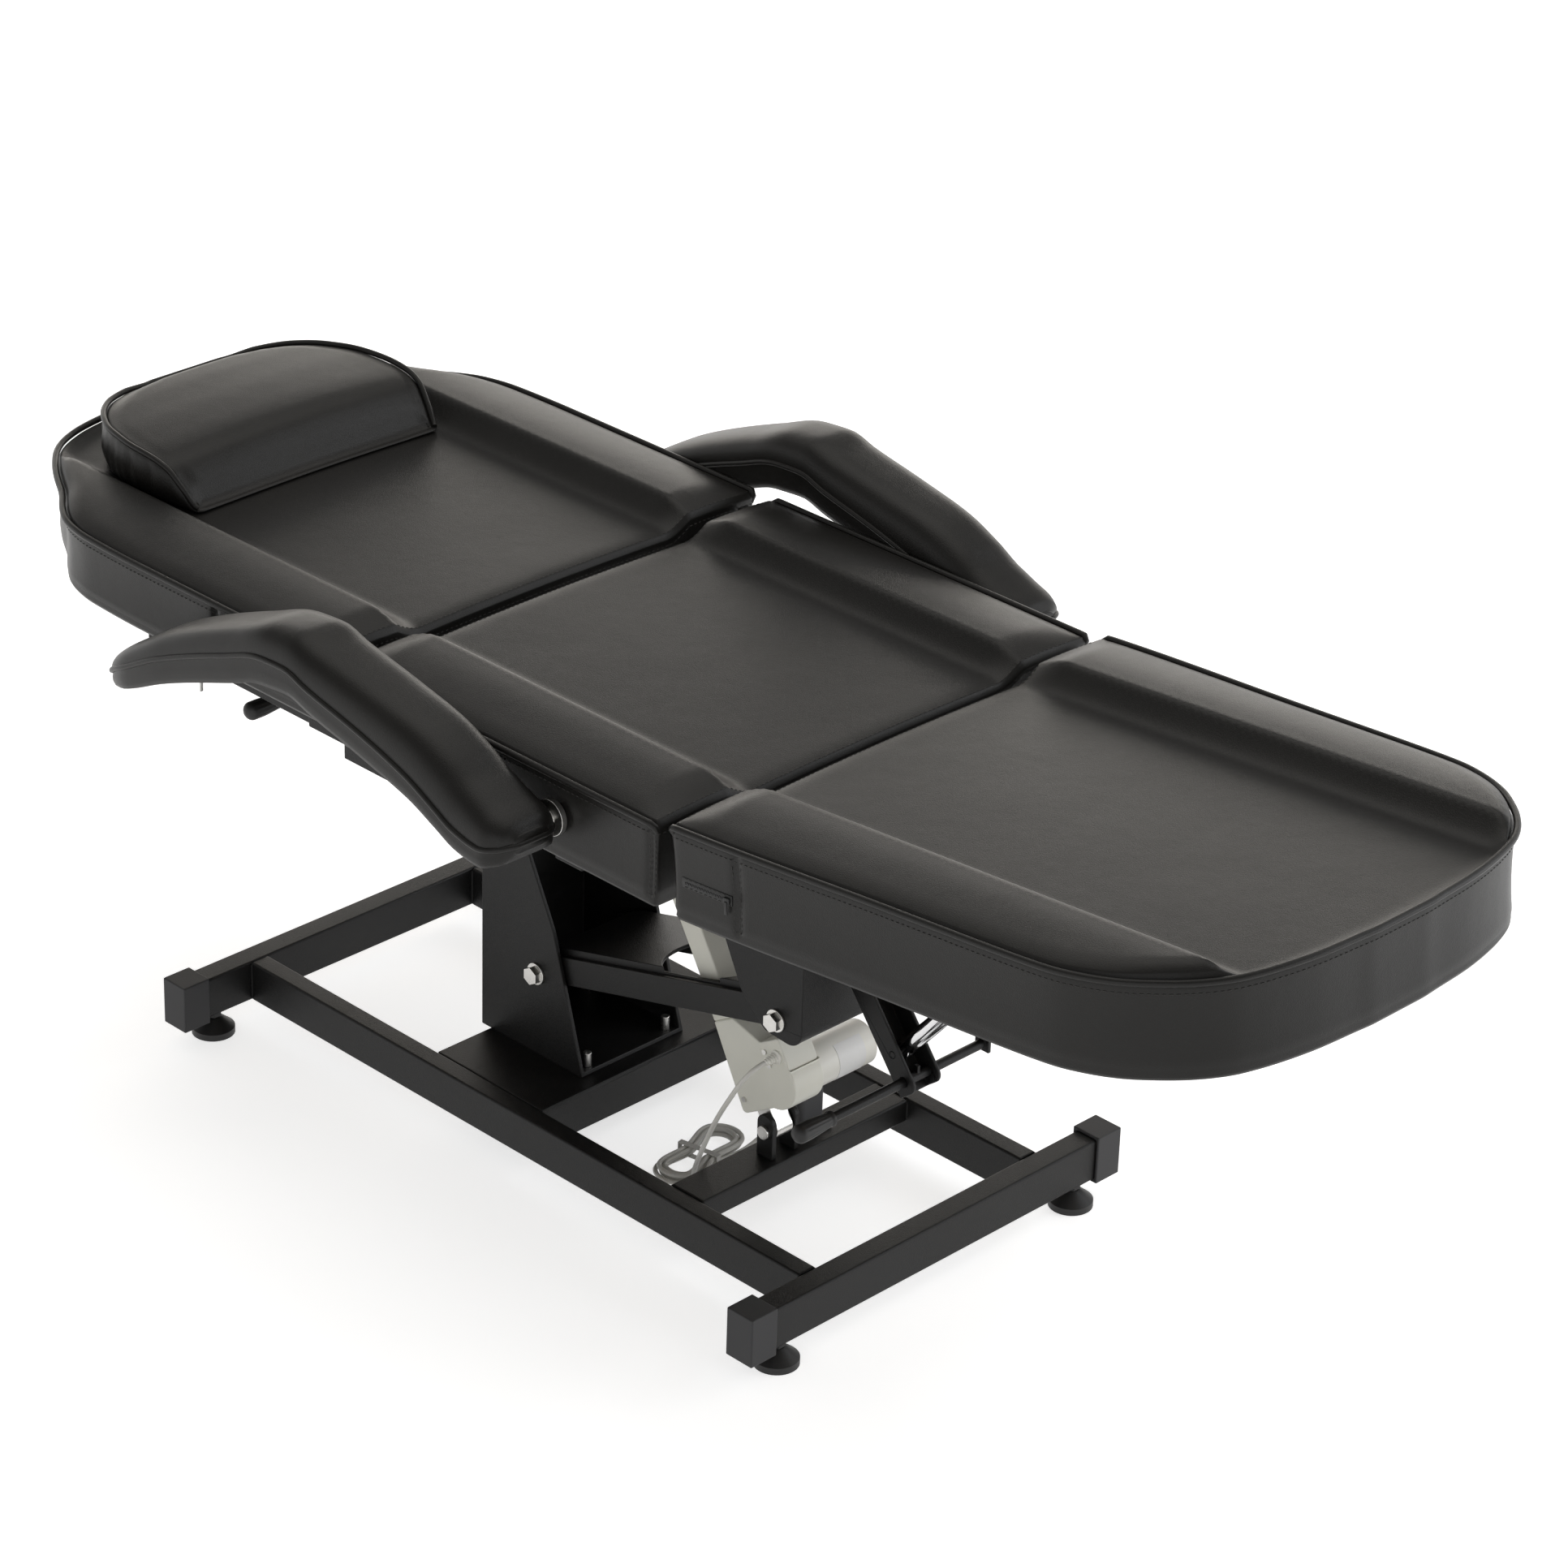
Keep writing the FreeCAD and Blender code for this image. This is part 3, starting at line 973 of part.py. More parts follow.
def chain(moves):
    """A closed wire of lines and arcs. A move is an end point, or a middle point and an end point."""
    edges = []
    start = moves[-1][-1]
    for move in moves:
        end = move[-1]
        if len(move) == 1:
            edges.append(Part.LineSegment(start, end).toShape())
        else:
            edges.append(Part.Arc(start, move[0], end).toShape())
        start = end
    return Part.Wire(edges)


def pad_section(y, half, low, high, crown, dip=1):
    """A pad across the chair: sides drawn in, a bolster along each side and a trough between."""
    draw = val("side_draw")
    bolster = val("bolster_wide") * half * 2 / val("bed_wide")
    rise = val("bolster_crown") * crown
    trough = high - val("trough_deep") * dip
    rim_in = half - bolster
    foot_in = rim_in - bolster / 4
    middle = (low + high) / 2

    def at(x, z):
        return Vector(x, y, z)
    return chain([
        (at(half, low),),
        (at(half - draw, middle), at(half, high)),
        (at(half - bolster / 2, high + rise), at(rim_in, high + rise / 4)),
        (at(foot_in, trough),),
        (at(0, trough + rise / 4), at(-foot_in, trough)),
        (at(-rim_in, high + rise / 4),),
        (at(bolster / 2 - half, high + rise), at(-half, high)),
        (at(draw - half, middle), at(-half, low)),
    ])


def eased(table, along):
    """A table of shares read between its rows without overshoot, each column by itself."""
    rows = sorted(table)
    number = max(index for index in range(len(rows) - 1) if rows[index][0] <= along)
    low, high = rows[number], rows[number + 1]
    wide = high[0] - low[0]
    share = (along - low[0]) / wide
    result = []
    for column in range(1, len(low)):
        def slope(index):
            if index in (0, len(rows) - 1):
                return 0.0
            before = (rows[index][column] - rows[index - 1][column]) / (rows[index][0] - rows[index - 1][0])
            after = (rows[index + 1][column] - rows[index][column]) / (rows[index + 1][0] - rows[index][0])
            return 0.0 if before * after <= 0 else 2 * before * after / (before + after)
        start, end = low[column], high[column]
        first, last = slope(number) * wide, slope(number + 1) * wide
        result.append((2 * share ** 3 - 3 * share ** 2 + 1) * start
                      + (share ** 3 - 2 * share ** 2 + share) * first
                      + (3 * share ** 2 - 2 * share ** 3) * end + (share ** 3 - share ** 2) * last)
    return result


def stations(count, start_round, end_round):
    """Shares of a length, closer together over the rounded part at each end."""
    steps = [index / count for index in range(count + 1)]
    rounds = [start_round * (1 - math.cos(math.pi / 2 * index / 6)) for index in range(6)]
    tail = [1 - end_round * (1 - math.cos(math.pi / 2 * index / 6)) for index in range(6)]
    middle = [step for step in steps if start_round < step < 1 - end_round]
    return sorted(set(rounds + middle + tail))


end_round_share = 0.07


def end_crown(along):
    """The share of the full crown at a place along a pad, less by each end."""
    near_end = min(along, 1 - along) / end_round_share
    return 1 if near_end >= 1 else 0.25 + 0.75 * math.sin(math.pi / 2 * near_end)


def board(half, long, at_y, low):
    thick = val("board_thick")
    return Part.makeBox(2 * half, long, thick, Vector(-half, at_y, low))


def seat_forms():
    """The seat's board and its cushion, which has room for the board and the armrest posts."""
    low, high = val("hem_z"), val("piping_z")
    foot, head = val("seat_foot_y"), val("seat_head_y")
    half, inset = val("bed_wide / 2"), val("board_inset")
    wires = []
    for along in stations(8, end_round_share, end_round_share):
        wires.append(pad_section(foot + along * (head - foot), half, low, high, end_crown(along)))
    body = Part.makeLoft(wires, True, True)
    panel = board(half - inset, head - foot - 2 * inset, foot + inset, low)
    gap = val("soft_gap")
    deep, thick = val("arm_post_deep") / 2 + gap, val("arm_post_thick") / 2 + gap
    hub_y, hub_z = val("armrest_hub_y"), val("armrest_hub_z")
    rooms = [panel]
    for side in (-1, 1):
        x = side * val("arm_post_x")
        rooms.append(Part.makeBox(2 * thick, 2 * deep, hub_z + val("arm_post_up") + gap - low,
                                  Vector(x - thick, hub_y - deep, low)))
        start = Vector(x - side * (thick + val("overrun")), hub_y, hub_z)
        rooms.append(Part.makeCylinder(val("armrest_shaft_radius") + gap, half, start,
                                       Vector(side, 0, 0)))
    return solid("seat_board", panel), solid("seat_cushion", body.cut(rooms))


tip_round_share = 0.12
back_outline_shares = [(0, 1), (0.06, 1), (0.47, 1), (0.61, 0.99), (0.68, 0.96), (0.727, 0.906),
                       (0.777, 0.828), (0.833, 0.76), (0.883, 0.69), (0.936, 0.59), (0.967, 0.48),
                       (0.984, 0.36), (0.994, 0.235), (1, 0.11)]
leg_outline_shares = [(0, 1), (0.06, 1), (0.425, 0.978), (0.666, 0.966), (0.741, 0.956),
                      (0.786, 0.934), (0.839, 0.888), (0.884, 0.82), (0.922, 0.744), (0.959, 0.625),
                      (0.977, 0.5), (0.991, 0.344), (1, 0.14)]


def tapered_pad(shares, start, long, low, high):
    """A pad that narrows along its outline. long is negative towards the foot end."""
    wires = []
    for along in stations(20, end_round_share, tip_round_share):
        wide = eased(shares, along)[0]
        wires.append(pad_section(start + along * long, wide * val("bed_wide") / 2, low, high,
                                 end_crown(along), (wide - shares[-1][1]) / (1 - shares[-1][1])))
    return Part.makeLoft(wires, True, True)


def back_forms():
    """The back's board, its cushion and the pillow that lies on it."""
    low, high = val("back_hem_z"), val("back_piping_z")
    foot, long = val("back_foot_y"), val("back_long")
    body = tapered_pad(back_outline_shares, foot, long, low, high)
    inset, half = val("board_inset"), val("bed_wide / 2")
    wide_long = long * 0.6
    panel = board(half - inset, wide_long - inset, foot + inset, low)
    head = board(half / 2, long * 0.86 - wide_long, foot + wide_long, low)
    panel = panel.fuse(head).removeSplitter()
    return (solid("back_board", panel), solid("back_cushion", body.cut(panel)),
            solid("pillow", pillow_form(body)))


def leg_forms():
    low, high, long = 0, val("leg_thick"), val("leg_long")
    inset, half = val("board_inset"), val("bed_wide / 2")
    body = tapered_pad(leg_outline_shares, 0, -long, low, high)
    panel = board(half - inset * 1.5, long * 0.84 - inset, -long * 0.84, low)
    at, lean = (0, val("leg_root_y"), val("hem_z")), -val("leg_lean")
    return solid("leg_board", panel, at, lean), solid("leg_cushion", body.cut(panel), at, lean)


pillow_round_share = 0.2
pillow_shares = [(0, 0.926, 0.1), (0.08, 0.95, 0.44), (0.18, 0.98, 0.82), (0.27, 0.995, 0.93),
                 (0.38, 1, 0.97), (0.6, 0.96, 1), (0.76, 0.865, 1), (0.89, 0.71, 0.98),
                 (0.965, 0.5, 0.94), (1, 0.29, 0.86)]


def pillow_form(bed):
    """A half-moon pillow: upright wall, sloped front and an underside that lies on the bed."""
    base = val("back_piping_z - trough_deep")
    wires = []
    for along in stations(14, pillow_round_share, tip_round_share):
        wide, high = eased(pillow_shares, along)
        y = val("pillow_front_y") + along * val("pillow_long")
        half = wide * val("pillow_wide") / 2
        rise = high * val("pillow_high")
        rim = base + rise * 0.86

        def at(x, z):
            return Vector(x, y, z)
        wires.append(chain([
            (at(half, base),), (at(half, rim),),
            (at(half * 0.97, rim + rise * 0.07), at(half * 0.9, rim + rise * 0.1)),
            (at(0, base + rise), at(-half * 0.9, rim + rise * 0.1)),
            (at(-half * 0.97, rim + rise * 0.07), at(-half, rim)), (at(-half, base),)]))
    clear_bed = bed.copy()
    clear_bed.translate(Vector(0, 0, val("soft_gap")))
    return Part.makeLoft(wires, True, True).cut(clear_bed)


# Along the armrest, then the piping line above the hub, half width, crown and band as shares
armrest_round_share = 0.05
armrest_shares = [(0, 0.02, 0.5, 0.25, 0.3), (0.012, 0, 0.8, 0.5, 0.6), (0.045, -0.04, 1, 0.85, 0.75),
                  (0.1, 0.03, 1, 1.1, 0.8), (0.15, 0.2, 1, 1.18, 0.85), (0.21, 0.4, 1, 1.15, 0.9),
                  (0.32, 0.64, 1, 1, 1), (0.45, 0.86, 1, 0.9, 1), (0.5, 0.97, 1, 0.85, 1),
                  (0.56, 0.94, 1, 0.82, 0.95), (0.65, 0.72, 1, 0.8, 0.9), (0.83, 0.18, 1, 0.75, 0.8),
                  (0.915, -0.16, 0.95, 0.66, 0.7), (0.96, -0.32, 0.78, 0.5, 0.55),
                  (0.988, -0.42, 0.52, 0.35, 0.4), (1, -0.46, 0.22, 0.2, 0.25)]


def armrest(label, side):
    """An armrest pad: a curved bar with a crowned top, a piping line and a flat underside."""
    middle = side * val("armrest_in + armrest_wide / 2")
    wires = []
    for along in stations(24, armrest_round_share, tip_round_share):
        up, wide, crown, band = eased(armrest_shares, along)
        y = val("armrest_hub_y - armrest_front") + along * val("armrest_long")
        line = val("armrest_hub_z") + up * val("armrest_rise")
        half = wide * val("armrest_wide") / 2
        top = line + crown * val("armrest_crown")
        low = line - band * val("armrest_band")

        def at(x, z):
            return Vector(middle + x, y, z)
        shoulder = line + (top - line) * 0.88
        wires.append(chain([
            (at(half, low),), (at(half, line),),
            (at(half * 0.94, line + (top - line) * 0.55), at(half * 0.7, shoulder)),
            (at(0, top), at(-half * 0.7, shoulder)),
            (at(-half * 0.94, line + (top - line) * 0.55), at(-half, line)), (at(-half, low),)]))
    body = Part.makeLoft(wires, True, True)
    mouth = Vector(side * val("armrest_in - overrun"), val("armrest_hub_y"), val("armrest_hub_z"))
    shaft = Part.makeCylinder(val("armrest_shaft_radius + fit_gap"), val("armrest_shaft_in + overrun"),
                              mouth, Vector(side, 0, 0))
    return solid(label, body.cut(shaft))


def armrest_shaft(label, side):
    """The steel shaft from the post inside the seat into the armrest, with its collar."""
    start = "arm_post_x - arm_post_thick / 2 - overrun"
    long = f"armrest_in + armrest_shaft_in - ({start})"
    y, z = "armrest_hub_y", "armrest_hub_z"
    low_x = start if side > 0 else f"-({start}) - ({long})"
    shaft = cylinder(label + "_bar", "armrest_shaft_radius", long, (low_x, y, z), "X")
    collar_long = "(armrest_gap - 4 * soft_gap)"
    collar_x = f"armrest_in - armrest_gap + 2 * soft_gap" if side > 0 else "2 * soft_gap - armrest_in"
    collar = cylinder(label + "_collar", "armrest_collar_radius", collar_long, (collar_x, y, z), "X")
    return join(label, shaft, collar)


# Cord
def biarc(start, way, end, end_way):
    """Two tangent arcs from one place and direction to another."""
    across = end - start
    both = way + end_way
    spare = 2 * (1 - way.dot(end_way))
    if spare < 1e-9:
        reach = across.dot(across) / (4 * across.dot(end_way))
    else:
        reach = (math.sqrt(across.dot(both) ** 2 + spare * across.dot(across)) - across.dot(both)) / spare
    joint = (start + end + (way - end_way) * reach) * 0.5
    return [arc(start, way, joint), arc(end, end_way * -1, joint)]


def arc(start, way, end):
    """An arc that leaves its start along a direction, and its radius."""
    chord = end - start
    side = way - chord * (way.dot(chord) / chord.dot(chord))
    angle = math.atan2(side.Length, way.dot(chord) / chord.Length)
    if side.Length < 1e-7:
        return Part.LineSegment(start, end).toShape(), math.inf
    side.normalize()
    middle = start + chord * 0.5 + side * (chord.Length / 2 * math.tan(angle / 2))
    return Part.Arc(start, middle, end).toShape(), chord.Length / (2 * math.sin(angle))


def pipe(wire, start, way):
    """A round cord along a wire."""
    ring = Part.Wire(Part.makeCircle(val("cord_radius"), start, way))
    return wire.makePipeShell([ring], True, False)


hank_loops = 2
climb_shares = {-1: 0, 0: 0.25, 1: 0.5, 2: 0.75}


def hank_place(step, loops_in, up):
    """The place and direction on the hank at an eighth of a loop, with the loops inside it."""
    turn = math.radians(val("hank_turn"))
    straight = val("hank_straight")
    wide = val("hank_inner") + loops_in * val("hank_step")
    waist = val("hank_waist") + loops_in * val("hank_waist_step")
    x, y, way = [(0, -waist, (-1, 0)), (-straight, -wide, (-1, 0)), (-straight - wide, 0, (0, 1)),
                 (-straight, wide, (1, 0)), (0, waist, (1, 0)), (straight, wide, (1, 0)),
                 (straight + wide, 0, (0, -1)), (straight, -wide, (-1, 0))][step % 8]
    along, across = Vector(math.cos(turn), math.sin(turn), 0), Vector(-math.sin(turn), math.cos(turn), 0)
    place_at = Vector(val("hank_x"), val("hank_y"), up) + along * x + across * y
    return place_at, along * way[0] + across * way[1]


def hank_stations():
    """Loops that spiral in on the floor, climb along the inmost run and spiral out above."""
    low = val("cord_floor + cord_radius")
    count = 8 * hank_loops
    found = []
    for step in range(-1, 2 * count + 2):
        loops_in = (count - step) / 8 if step < count else max(0, step - count - 2) / 8
        share = climb_shares.get(step - count, 0 if step < count else 1)
        found.append(hank_place(step, loops_in, low + share * val("hank_layer")))
    return found


def cord_hank():
    """The put-up cord as one unbroken tube, with its least gap to itself printed."""
    found = hank_stations()
    edges, radii = [], []
    for (start, way), (end, end_way) in zip(found, found[1:]):
        for edge, radius in biarc(start, way, end, end_way):
            edges.append(edge)
            radii.append(radius)
    wire = Part.Wire(Part.__sortEdges__(edges))
    shape = pipe(wire, *found[0])
    points = wire.discretize(Distance=val("cord_radius") / 2)
    spacing = wire.Length / len(points)
    skip = int(math.pi * val("hank_inner") / spacing)
    least = min((points[a] - points[b]).Length
                for a in range(len(points)) for b in range(a + skip, len(points)))
    print(f"hank: {wire.Length:.0f} long, least radius {min(radii):.1f}, "
          f"gap {least - 2 * val('cord_radius'):.2f}")
    return solid("cord_hank", shape)


def free_cord(label, points, shortest=3):
    """A free stretch: straight runs joined by arcs as large as the runs allow."""
    edges, radii = [], []
    here = points[0]
    for before, corner, after in zip(points, points[1:], points[2:]):
        into, out = corner - before, after - corner
        run = 0.45 * min(into.Length, out.Length)
        turn = into.getAngle(out)
        radii.append(run / math.tan(turn / 2))
        into.normalize()
        out.normalize()
        start, end = corner - into * run, corner + out * run
        edges.append(Part.LineSegment(here, start).toShape())
        edges.append(arc(start, into, end)[0])
        here = end
    edges.append(Part.LineSegment(here, points[-1]).toShape())
    wire = Part.Wire(edges)
    shape = pipe(wire, points[0], points[1] - points[0])
    section = math.pi * val("cord_radius") ** 2
    print(f"{label}: {wire.Length:.0f} long, radii {[round(radius) for radius in radii]}, "
          f"volume ratio {shape.Volume / section / wire.Length:.4f}")
    return solid(label, shape)


def cord_lead():
    """From the gland on the gearbox down to the top of the hank."""
    turn = math.radians(val("drive_lean"))
    back, up = -val("gland_offset"), val("gland_along")
    gland = Vector(val("drive_x - gearbox_wide / 2 - gland_long"),
                   val("drive_pin_y") + back * math.cos(turn) + up * math.sin(turn),
                   val("drive_pin_z") - back * math.sin(turn) + up * math.cos(turn))
    end, way = hank_stations()[-1]
    route = [Vector(0, 0, 0), Vector(-21, 0, 0), Vector(-34, 9, -18), Vector(-38.5, 21, -42),
             Vector(-39, 39, -74), Vector(-36, 58.5, -114), Vector(-29, 78.3, -152),
             Vector(-18.5, 94.3, -180), Vector(-6.5, 105.7, -197.2)]
    points = [gland + step for step in route] + [end + way * 14, end]
    return free_cord("cord_lead", points)


def cord_tail():
    """From the foot of the hank along the floor and up to the control box."""
    start, way = hank_stations()[0]
    back = way * -1
    socket = Vector(val("box_x + box_wide / 4"), val("box_y + box_deep / 2 + socket_long"),
                    val("socket_z"))
    points = [start, start + back * 33, Vector(77.5, -19.5, 12.9), Vector(84.3, -21.2, 28.2),
              Vector(78.8, -21.3, 43.7), Vector(78.8, -21.3, 61.7), Vector(72.9, -21.3, 77.5),
              Vector(62.7, -26.4, 90), socket + Vector(0, 18, 0), socket]
    return free_cord("cord_tail", points)


def hank_tie():
    """The strap round the hank's waist, between the cord and the floor."""
    thick, gap, radius = val("tie_thick"), val("soft_gap"), val("cord_radius")
    half = val("hank_waist") + hank_loops * val("hank_waist_step") + radius + gap
    high = val("hank_layer") + 2 * radius + 2 * gap
    low = val("cord_floor") - gap
    wide = val("tie_wide")
    outer = Part.makeBox(wide, 2 * (half + thick), high + 2 * thick,
                         Vector(-wide / 2, -half - thick, low - thick))
    inner = Part.makeBox(2 * wide, 2 * half, high, Vector(-wide, -half, low))
    shape = outer.cut(inner)
    thing = solid("hank_tie", shape)
    thing.Placement = FreeCAD.Placement(Vector(val("hank_x"), val("hank_y"), 0),
                                        FreeCAD.Rotation(Vector(0, 0, 1), val("hank_turn")))
    return thing


nodes = [
    cross_tube("foot_cross_tube", "base_foot_y"),
    cross_tube("head_cross_tube", "base_head_y - cross_deep"),
    pair("side_rails", side_rail("side_rail")),
    pillar_cross_members(), end_caps(), levelling_feet(), drive_cross_tube(),
    pillar(), pillar_studs(),
    pivot_bolt("lower_pivot_bolt", "arm_pivot_y", "arm_pivot_z", "pillar_wide / 2"),
    spacer_ring("lower_pivot_spacers", "arm_pivot_y", "arm_pivot_z", "pillar_wide / 2", "pivot_radius"),
    arm_side_bars(), arm_channel(), upper_link(),
    link_shaft("upper_pivot_shaft", "link_pillar_y", "link_pillar_z", "pillar_wide / 2"),
    seat_bracket(),
    pivot_bolt("bracket_pivot_bolt", "seat_pivot_y", "seat_pivot_z", "bracket_wide / 2"),
    link_shaft("seat_link_shaft", "link_seat_y", "link_seat_z", "bracket_wide / 2"),
    drive_clevis(), clevis_pin(), drive_tongue(), gearbox(), drive_motor(), drive_column(),
    drive_screw(), piston_tube(), drive_nut(), top_pin(), top_bracket(),
    cable_gland(), cover_screws(), control_box(), seat_frame(), hinge_pins(), *seat_forms(),
    leg_spring_holder(), leg_lever(),
    lever_grip("leg_lever_grip", "leg_lever_near_x", "holder_y", "holder_z"),
    leg_frame(), *leg_forms(),
    spring_cylinder("leg_spring_cylinder", "0", "spring_y", "spring_z", "spring_lean",
                    "leg_can_long"),
    spring_rod("leg_spring_rod", "0", "spring_y", "spring_z", "spring_lean", "spring_long",
               "leg_rod_in"),
    back_frame(), *back_forms(), back_lever(),
    lever_grip("back_lever_grip", "back_lever_near_x", "back_lever_y", "back_lever_z"),
    spring_cylinder("back_spring_cylinder", "back_spring_x", "back_spring_low_y",
                    "back_spring_low_z", "-back_spring_lean", "back_can_long"),
    spring_rod("back_spring_rod", "back_spring_x", "back_spring_low_y", "back_spring_low_z",
               "-back_spring_lean", "back_spring_long", "back_rod_in"),
    cord_hank(), cord_lead(), cord_tail(), hank_tie(),
    armrest("left_armrest", -1), armrest("right_armrest", 1),
    armrest_shaft("left_armrest_shaft", -1), armrest_shaft("right_armrest_shaft", 1),
]


def check_and_write():
    doc.recompute()
    for thing in doc.Objects:
        if "Invalid" in thing.State or "Error" in thing.State:
            raise RuntimeError(f"{thing.Label} did not build: {thing.State}")
    for node in nodes:
        if node.Shape.isNull() or not node.Shape.isValid():
            raise RuntimeError(f"{node.Label} has no valid shape")
    os.makedirs("parts", exist_ok=True)
    for node in nodes:
        node.Shape.exportStep(f"parts/{node.Label}.step")
    print(len(nodes), "sub-parts")


check_and_write()
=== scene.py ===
import bpy, json, math, random
from mathutils import Vector, Matrix, geometry, kdtree

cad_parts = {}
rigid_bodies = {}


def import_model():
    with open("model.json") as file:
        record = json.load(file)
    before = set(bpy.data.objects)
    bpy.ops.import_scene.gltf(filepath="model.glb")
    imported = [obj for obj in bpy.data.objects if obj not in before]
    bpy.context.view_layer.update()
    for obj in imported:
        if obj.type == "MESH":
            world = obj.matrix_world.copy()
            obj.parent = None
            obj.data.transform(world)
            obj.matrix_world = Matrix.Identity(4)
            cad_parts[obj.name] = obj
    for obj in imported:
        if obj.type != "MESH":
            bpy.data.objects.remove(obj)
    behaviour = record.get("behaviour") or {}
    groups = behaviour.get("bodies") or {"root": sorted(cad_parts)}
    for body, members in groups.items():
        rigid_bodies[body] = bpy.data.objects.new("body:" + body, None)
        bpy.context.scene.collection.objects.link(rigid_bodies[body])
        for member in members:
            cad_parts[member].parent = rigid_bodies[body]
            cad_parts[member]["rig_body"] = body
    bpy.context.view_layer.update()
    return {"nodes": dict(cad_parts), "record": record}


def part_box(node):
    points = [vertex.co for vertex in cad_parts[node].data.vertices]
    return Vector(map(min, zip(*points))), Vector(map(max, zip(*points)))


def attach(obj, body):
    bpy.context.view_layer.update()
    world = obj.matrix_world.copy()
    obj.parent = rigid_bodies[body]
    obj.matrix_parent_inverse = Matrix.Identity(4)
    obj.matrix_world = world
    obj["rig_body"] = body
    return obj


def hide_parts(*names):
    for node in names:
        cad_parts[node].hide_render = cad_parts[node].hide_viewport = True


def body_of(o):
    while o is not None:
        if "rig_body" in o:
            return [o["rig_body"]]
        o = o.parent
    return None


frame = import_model()
nodes = frame["nodes"]
print("frame loaded:", len(nodes), "nodes")


# camera, solved from the base tubes and the pads of the photograph
camera = {"azimuth": -45.815, "elevation": 27.411, "roll": 1.863, "focal": 6177.747, "picture": 1932,
          "place": (-3.357369, -3.364888, 2.934634)}


def placeCamera():
    bpy.ops.object.camera_add(location=camera["place"])
    cam = bpy.context.object
    turn = Matrix.Rotation(math.radians(camera["azimuth"]), 3, "Z")
    tilt = Matrix.Rotation(math.radians(90 - camera["elevation"]), 3, "X")
    cam.rotation_euler = (turn @ tilt @ Matrix.Rotation(math.radians(camera["roll"]), 3, "Z")).to_euler()
    cam.data.sensor_width = 36
    cam.data.lens = camera["focal"] / camera["picture"] * 36
    cam.data.clip_end = 60
    bpy.context.scene.camera = cam


# the shader writer: values and links are combined with Python's own operators
class Link:
    def __init__(self, tree, socket):
        self.tree, self.socket = tree, socket

    def math(self, operation, other):
        return self.tree.node("ShaderNodeMath", {"operation": operation}, {0: self, 1: other})

    def __add__(self, other): return self.math("ADD", other)
    __radd__ = __add__
    def __sub__(self, other): return self.math("SUBTRACT", other)
    def __rsub__(self, other): return (self * -1) + other
    def __mul__(self, other): return self.math("MULTIPLY", other)
    __rmul__ = __mul__


class Material:
    def __init__(self, name, **fixed):
        self.data = bpy.data.materials.new(name)
        self.data.use_nodes = True
        self.nodes = self.data.node_tree.nodes
        self.links = self.data.node_tree.links
        self.surface = self.nodes["Principled BSDF"]
        for socket, value in fixed.items():
            self.set(socket, value)

    def set(self, socket, value):
        self.plug(self.surface.inputs[socket], value)

    def plug(self, socket, value):
        if isinstance(value, Link):
            self.links.new(value.socket, socket)
        elif value is not None:
            wide = len(socket.default_value) if hasattr(socket.default_value, "__len__") else 1
            if wide == 4 and len(value) == 3:
                value = (*value, 1)
            socket.default_value = value

    def node(self, kind, settings=None, sockets=None, out=0):
        made = self.nodes.new(kind)
        for key, value in (settings or {}).items():
            setattr(made, key, value)
        for key, value in (sockets or {}).items():
            self.plug(made.inputs[key], value)
        return Link(self, made.outputs[out])

    def place(self, scale=(1, 1, 1)):
        spot = self.node("ShaderNodeTexCoord", out="Object")
        return self.node("ShaderNodeMapping", {}, {"Vector": spot, "Scale": scale})

    def noise(self, scale, detail=4, rough=0.5, where=None):
        return self.node("ShaderNodeTexNoise", {}, {"Vector": where or self.place(), "Scale": scale,
                                                    "Detail": detail, "Roughness": rough}, "Fac")

    def cells(self, scale, feature="F1"):
        return self.node("ShaderNodeTexVoronoi", {"feature": feature},
                         {"Vector": self.place(), "Scale": scale}, "Distance")

    def ramp(self, value, low, high):
        return self.node("ShaderNodeMapRange", {}, {"Value": value, "From Min": low, "From Max": high},
                         "Result")

    def blend(self, share, first, second):
        return self.node("ShaderNodeMix", {"data_type": "RGBA"}, {0: share, 6: first, 7: second}, 2)

    def bump(self, height, strength, distance, under=None):
        return self.node("ShaderNodeBump", {}, {"Height": height, "Strength": strength,
                                                "Distance": distance, "Normal": under}, "Normal")


def leather():
    made = Material("blackLeather", **{"Specular IOR Level": 0.26})
    grain = made.cells(900) * 0.6 + made.noise(1500, 2) * 0.4
    pores = made.cells(420, "DISTANCE_TO_EDGE")
    crumple = made.noise(11, 5, 0.5)
    tone = made.noise(7, 4)
    made.set("Base Color", made.blend(made.ramp(tone, 0.3, 0.7), (0.0112, 0.0106, 0.0096),
                                      (0.0146, 0.0137, 0.0124)))
    made.set("Roughness", tone * 0.05 + grain * 0.10 + 0.29)
    soft = made.bump(crumple, 0.22, 0.004)
    fine = made.bump(made.ramp(pores, 0, 0.12), 0.22, 0.0003, soft)
    made.set("Normal", made.bump(grain, 0.3, 0.0003, fine))
    return made.data


def thread():
    made = Material("seamThread", **{"Specular IOR Level": 0.3, "Roughness": 0.7})
    made.set("Base Color", made.blend(made.noise(900, 2), (0.035, 0.034, 0.032), (0.07, 0.068, 0.064)))
    return made.data


def powderCoat():
    made = Material("texturedBlack", **{"Specular IOR Level": 0.26})
    bead = made.cells(1100)
    patch = made.noise(9, 4)
    made.set("Base Color", made.blend(made.ramp(patch, 0.35, 0.7), (0.0046, 0.0046, 0.0047),
                                      (0.0082, 0.0080, 0.0078)))
    made.set("Roughness", patch * 0.14 + bead * 0.1 + 0.31)
    made.set("Normal", made.bump(bead, 0.4, 0.0004, made.bump(made.noise(260, 3), 0.15, 0.0006)))
    return made.data


